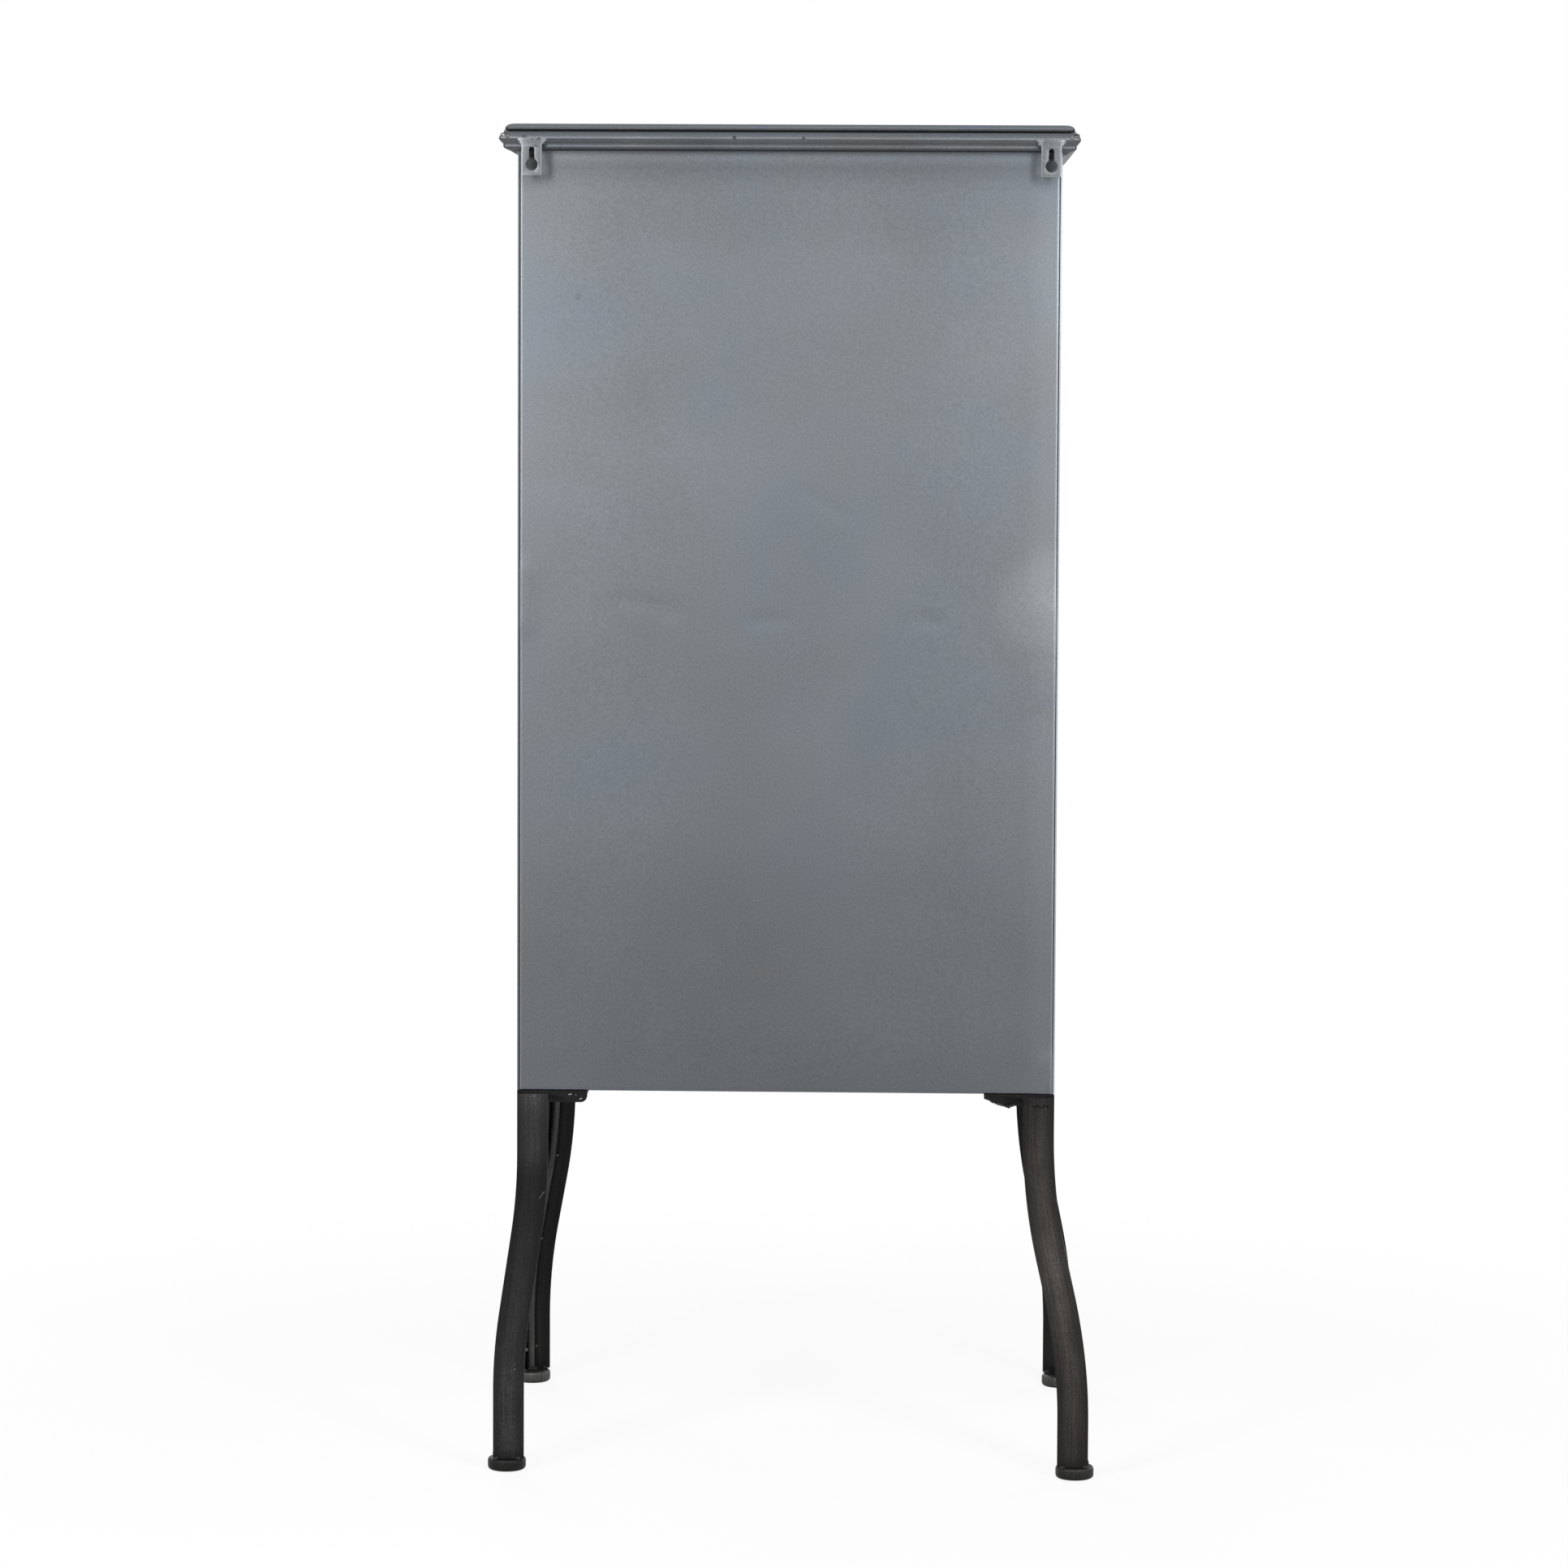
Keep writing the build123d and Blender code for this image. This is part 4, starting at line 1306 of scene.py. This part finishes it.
    def at(self, corner: Corner, in_x: float, in_y: float, height: float) -> Point:
        """Give the place that lies so far in from both outer faces of a leg at a height.

        Args:
            corner: Which leg.
            in_x: Distance in from the leg's outer side face.
            in_y: Distance in from its outer rear or front face.
            height: Height above the floor.

        Returns:
            The place.
        """
        sign_x, sign_y, _ = corner.value
        out = self.stepped_out(corner, height)
        x = sign_x * (self.half_width + out - in_x)
        return (x, sign_y * (self.half_depth + out - in_y), height)

    def dress_bars(self) -> None:
        """Dress the legs, each with brush marks that follow its own bends, and their bars."""
        half = self.flange / 2
        for corner, (black, rubbed), tones in zip(Corner, self.leg_iron, self.leg_tones):
            sign_x, sign_y, splay = corner.value
            finish = BlackenedIron(
                f"blackened_angle_iron_{corner.word}",
                black,
                rubbed,
                centre=(sign_x * (self.half_width - half), sign_y * (self.half_depth - half)),
                lean=(sign_x * splay, sign_y * splay),
                heights=tones,
            )
            dress([f"leg_{corner.word}"], finish.make())
        bar = BlackenedIron(
            "blackened_round_bar", "202020", "545352", middle=0.4, everywhere=0.4, streak_mm=4.0,
            roughness=0.36,
        )
        dress(["leg_rods"], bar.make())

    def feet(self) -> None:
        """Turn one foot and copy it under each leg."""
        height = self.foot_top
        bpy.ops.mesh.primitive_cylinder_add(
            vertices=72, radius=self.foot_radius, depth=height, location=(0, 0, height / 2)
        )
        foot = bpy.context.object
        settle(foot)
        open_mesh(foot)
        pick_edges(foot, lambda a, b: min(a.z, b.z) > height - HAIR)
        bpy.ops.mesh.bevel(offset=self.foot_top_round, segments=6, affect="EDGES")
        pick_edges(foot, lambda a, b: max(a.z, b.z) < HAIR)
        bpy.ops.mesh.bevel(offset=self.foot_sole_round, segments=6, affect="EDGES")
        close_mesh()
        for corner, (black, rubbed, share) in zip(Corner, self.foot_iron):
            sign_x, sign_y, splay = corner.value
            x = sign_x * (self.half_width + splay - self.foot_inset)
            y = sign_y * (self.half_depth + splay - self.foot_inset)
            node, iron = f"foot_{corner.word}", f"blackened_turned_iron_{corner.word}"
            finish = BlackenedIron(
                iron, black, rubbed, middle=share, everywhere=share, heights=self.foot_tones
            ).make()
            twin = copy_of(foot, (x, y, 0))
            finish_piece(twin, f"turned_{node}", finish, (node,), angle=40)
        bpy.data.objects.remove(foot)

    def brackets(self, black: Material) -> None:
        """Take over the brackets' own shape, and tear the rear lip of the left rear one.

        Args:
            black: What the melted metal on the torn edge is dressed in.
        """
        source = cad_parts["corner_brackets"]
        plates = bpy.data.objects.new("plates", source.data.copy())
        bpy.context.scene.collection.objects.link(plates)
        plates.matrix_world = source.matrix_world
        open_mesh(plates)
        bpy.ops.mesh.select_all(action="SELECT")
        bpy.ops.mesh.remove_doubles(threshold=1e-6)
        face_outwards()
        close_mesh()
        (x0, z0), (x1, z1) = self.torn
        slope = math.atan2(z0 - z1, x0 - x1)
        middle = Vector(((x0 + x1) / 2, self.half_depth, (z0 + z1) / 2))
        middle += Vector((math.sin(slope), 0, -math.cos(slope))) * self.wedge[2] / 2
        bpy.ops.mesh.primitive_cube_add(size=1.0, location=middle, rotation=(0, -slope, 0))
        wedge = bpy.context.object
        wedge.scale = self.wedge
        cut(plates, wedge)
        plate = BlackenedIron(
            "blackened_plate", "080808", "262626", "d8d7d2", middle=0.25, everywhere=0.25,
            fleck_mm=9.0,
        ).make()
        nodes = ("corner_brackets",)
        finish_piece(plates, "brackets", plate, nodes, angle=30)
        runs = on_plane(self.torn_runs, self.half_depth - self.torn_sunk)
        x, y, z = runs[-1][-1]
        runs[-1][-1] = (x, y - self.torn_drift, z)
        Weld("torn_lip_metal", runs, 0.9, 0.9, seed=21).build(black)

    def dress_bolts(self) -> None:
        """Dress the bolts and nuts in dull zinc: a flat pale grey, faintly cloudy."""
        zinc = SheetSteel(
            "dull_zinc_plate", "9a9b9a", "828382", "858a90", "8e8a82", roughness=0.42, coat=0.0,
            cloud_mm=9.0, grain_mm=0.8,
        )
        fixings = [f"drawer_{n}_fixings" for n in range(1, Drawers.count + 1)]
        dress(["leg_bolts", "leg_nuts", *fixings], zinc.make())

    def welds(self, black: Material) -> None:
        """Weld the legs to their feet and the bars to the legs, and lay the small marks.

        Args:
            black: What the welds at the feet are dressed in.
        """
        feet: list[Run] = []
        tacks: list[Run] = []
        near = self.rod_inset + self.rod_radius + self.tack_out
        floor = self.foot_top + self.weld_rise
        for corner in Corner:
            for run in self.foot_runs:
                feet.append([self.at(corner, x * MM, y * MM, floor) for x, y in run])
            for height in self.tack_heights:
                tacks.append([self.at(corner, near, self.tack_inset, height)])
                tacks.append([self.at(corner, self.tack_inset, near, height - self.tack_drop)])
        Weld("foot_welds", feet, 1.4, 1.1, 0.45, 3).build(black)
        # pale metal: on the bar tacks it is a painted highlight standing in for their shine, on the
        # leg's scratch it is bare metal
        bright = BlackenedIron(
            "pale_scratch_metal_and_tack_sheen", "3c3c3c", "8c8b88", middle=0.6, everywhere=0.6
        ).make()
        Weld("bar_tacks", tacks, 1.6, seed=5).build(bright)
        paint = BlackenedIron("dried_pale_paint", "8c8b86", "c4c3be").make()
        leg, face = Corner.REAR_RIGHT, self.half_depth + self.proud
        flecks = on_plane(self.flecks, face)
        flecks += [[self.at(leg, in_x, -self.proud, height)] for in_x, height in self.leg_flecks]
        Weld("paint_flecks", flecks, 0.42, 0.5, 0.1, 6).build(paint)
        scratch = [self.at(leg, in_x, 0.0, height) for in_x, height in self.scratch]
        Weld("leg_scratch_burr", [scratch], 0.2, 0.25, 0.03).build(bright)
        sooty = BlackenedIron(
            "sooty_seam_metal", "060606", "101010", middle=0.1, everywhere=0.1, roughness=0.8
        ).make()
        Weld("leg_top_seam", on_plane([self.seam], face), 0.45, 0.45, 0.05, 8).build(sooty)

    def build(self) -> None:
        """Dress the stand and weld it together."""
        black = BlackenedIron(
            "blackened_weld_metal", "101010", middle=0.35, everywhere=0.35, roughness=0.42
        ).make()
        self.dress_bars()
        self.dress_bolts()
        self.feet()
        self.brackets(black)
        self.welds(black)


@dataclass
class Drawers:
    """Six drawers: tray, front, pull and blank card."""

    count: int = 6

    def build(self) -> None:
        """Dress the drawers and what they run on."""
        front = SheetSteel("clear_lacquered_drawer_front").make()
        # bare sheet without lacquer: greyer and duller than the fronts
        inner = SheetSteel(
            "plain_folded_sheet_steel", "6c6d6e", "5c5e5f", "5e6368", "63605d", roughness=0.5,
            coat=0.0, cloud_mm=90.0,
        ).make()
        # handled for years: brighter and glossier than the sheet, with more contrast
        pull = SheetSteel(
            "pressed_pull_steel", "85868a", "5e5f62", "656b74", "6d6862", roughness=0.36,
            coat=0.25, cloud_mm=28.0, grain_mm=1.2,
        ).make()
        card = CardStock("manila_card").make()
        parts = (("front", front), ("tray", inner), ("pull", pull), ("card", card))
        for part, material in parts:
            dress([f"drawer_{n}_{part}" for n in range(1, self.count + 1)], material)
        dress(["runners_left", "runners_right", "drawer_stops"], inner)


def main() -> None:
    """Build the studio and the cabinet, logging the face count of each piece made."""
    logging.basicConfig(level=logging.INFO, format="%(name)s: %(message)s")
    Studio().build()
    # filed braze: bright where the file passed, dark in the pits
    braze = SheetSteel(
        "filed_braze", "858684", "444547", "5c6065", "5a554f", roughness=0.44, coat=0.08,
        cloud_mm=4.0, grain_mm=0.9,
    ).make()
    # dust and fine scuffs spread the shine of the top
    top = SheetSteel("scuffed_top_sheet_steel", roughness=0.72, coat=0.0).make()
    CaseShell().build(top)
    Cornice().build(top)
    # near-black painted shade for the hangers' edge and keyhole walls
    edge_shade = BlackenedIron("painted_edge_shade", "0c0c0c", "1c1c1c", middle=0.2).make()
    Hangers().build(braze, edge_shade)
    CornerBraze().build(braze)
    Stand().build()
    Drawers().build()


if __name__ == "__main__":
    main()
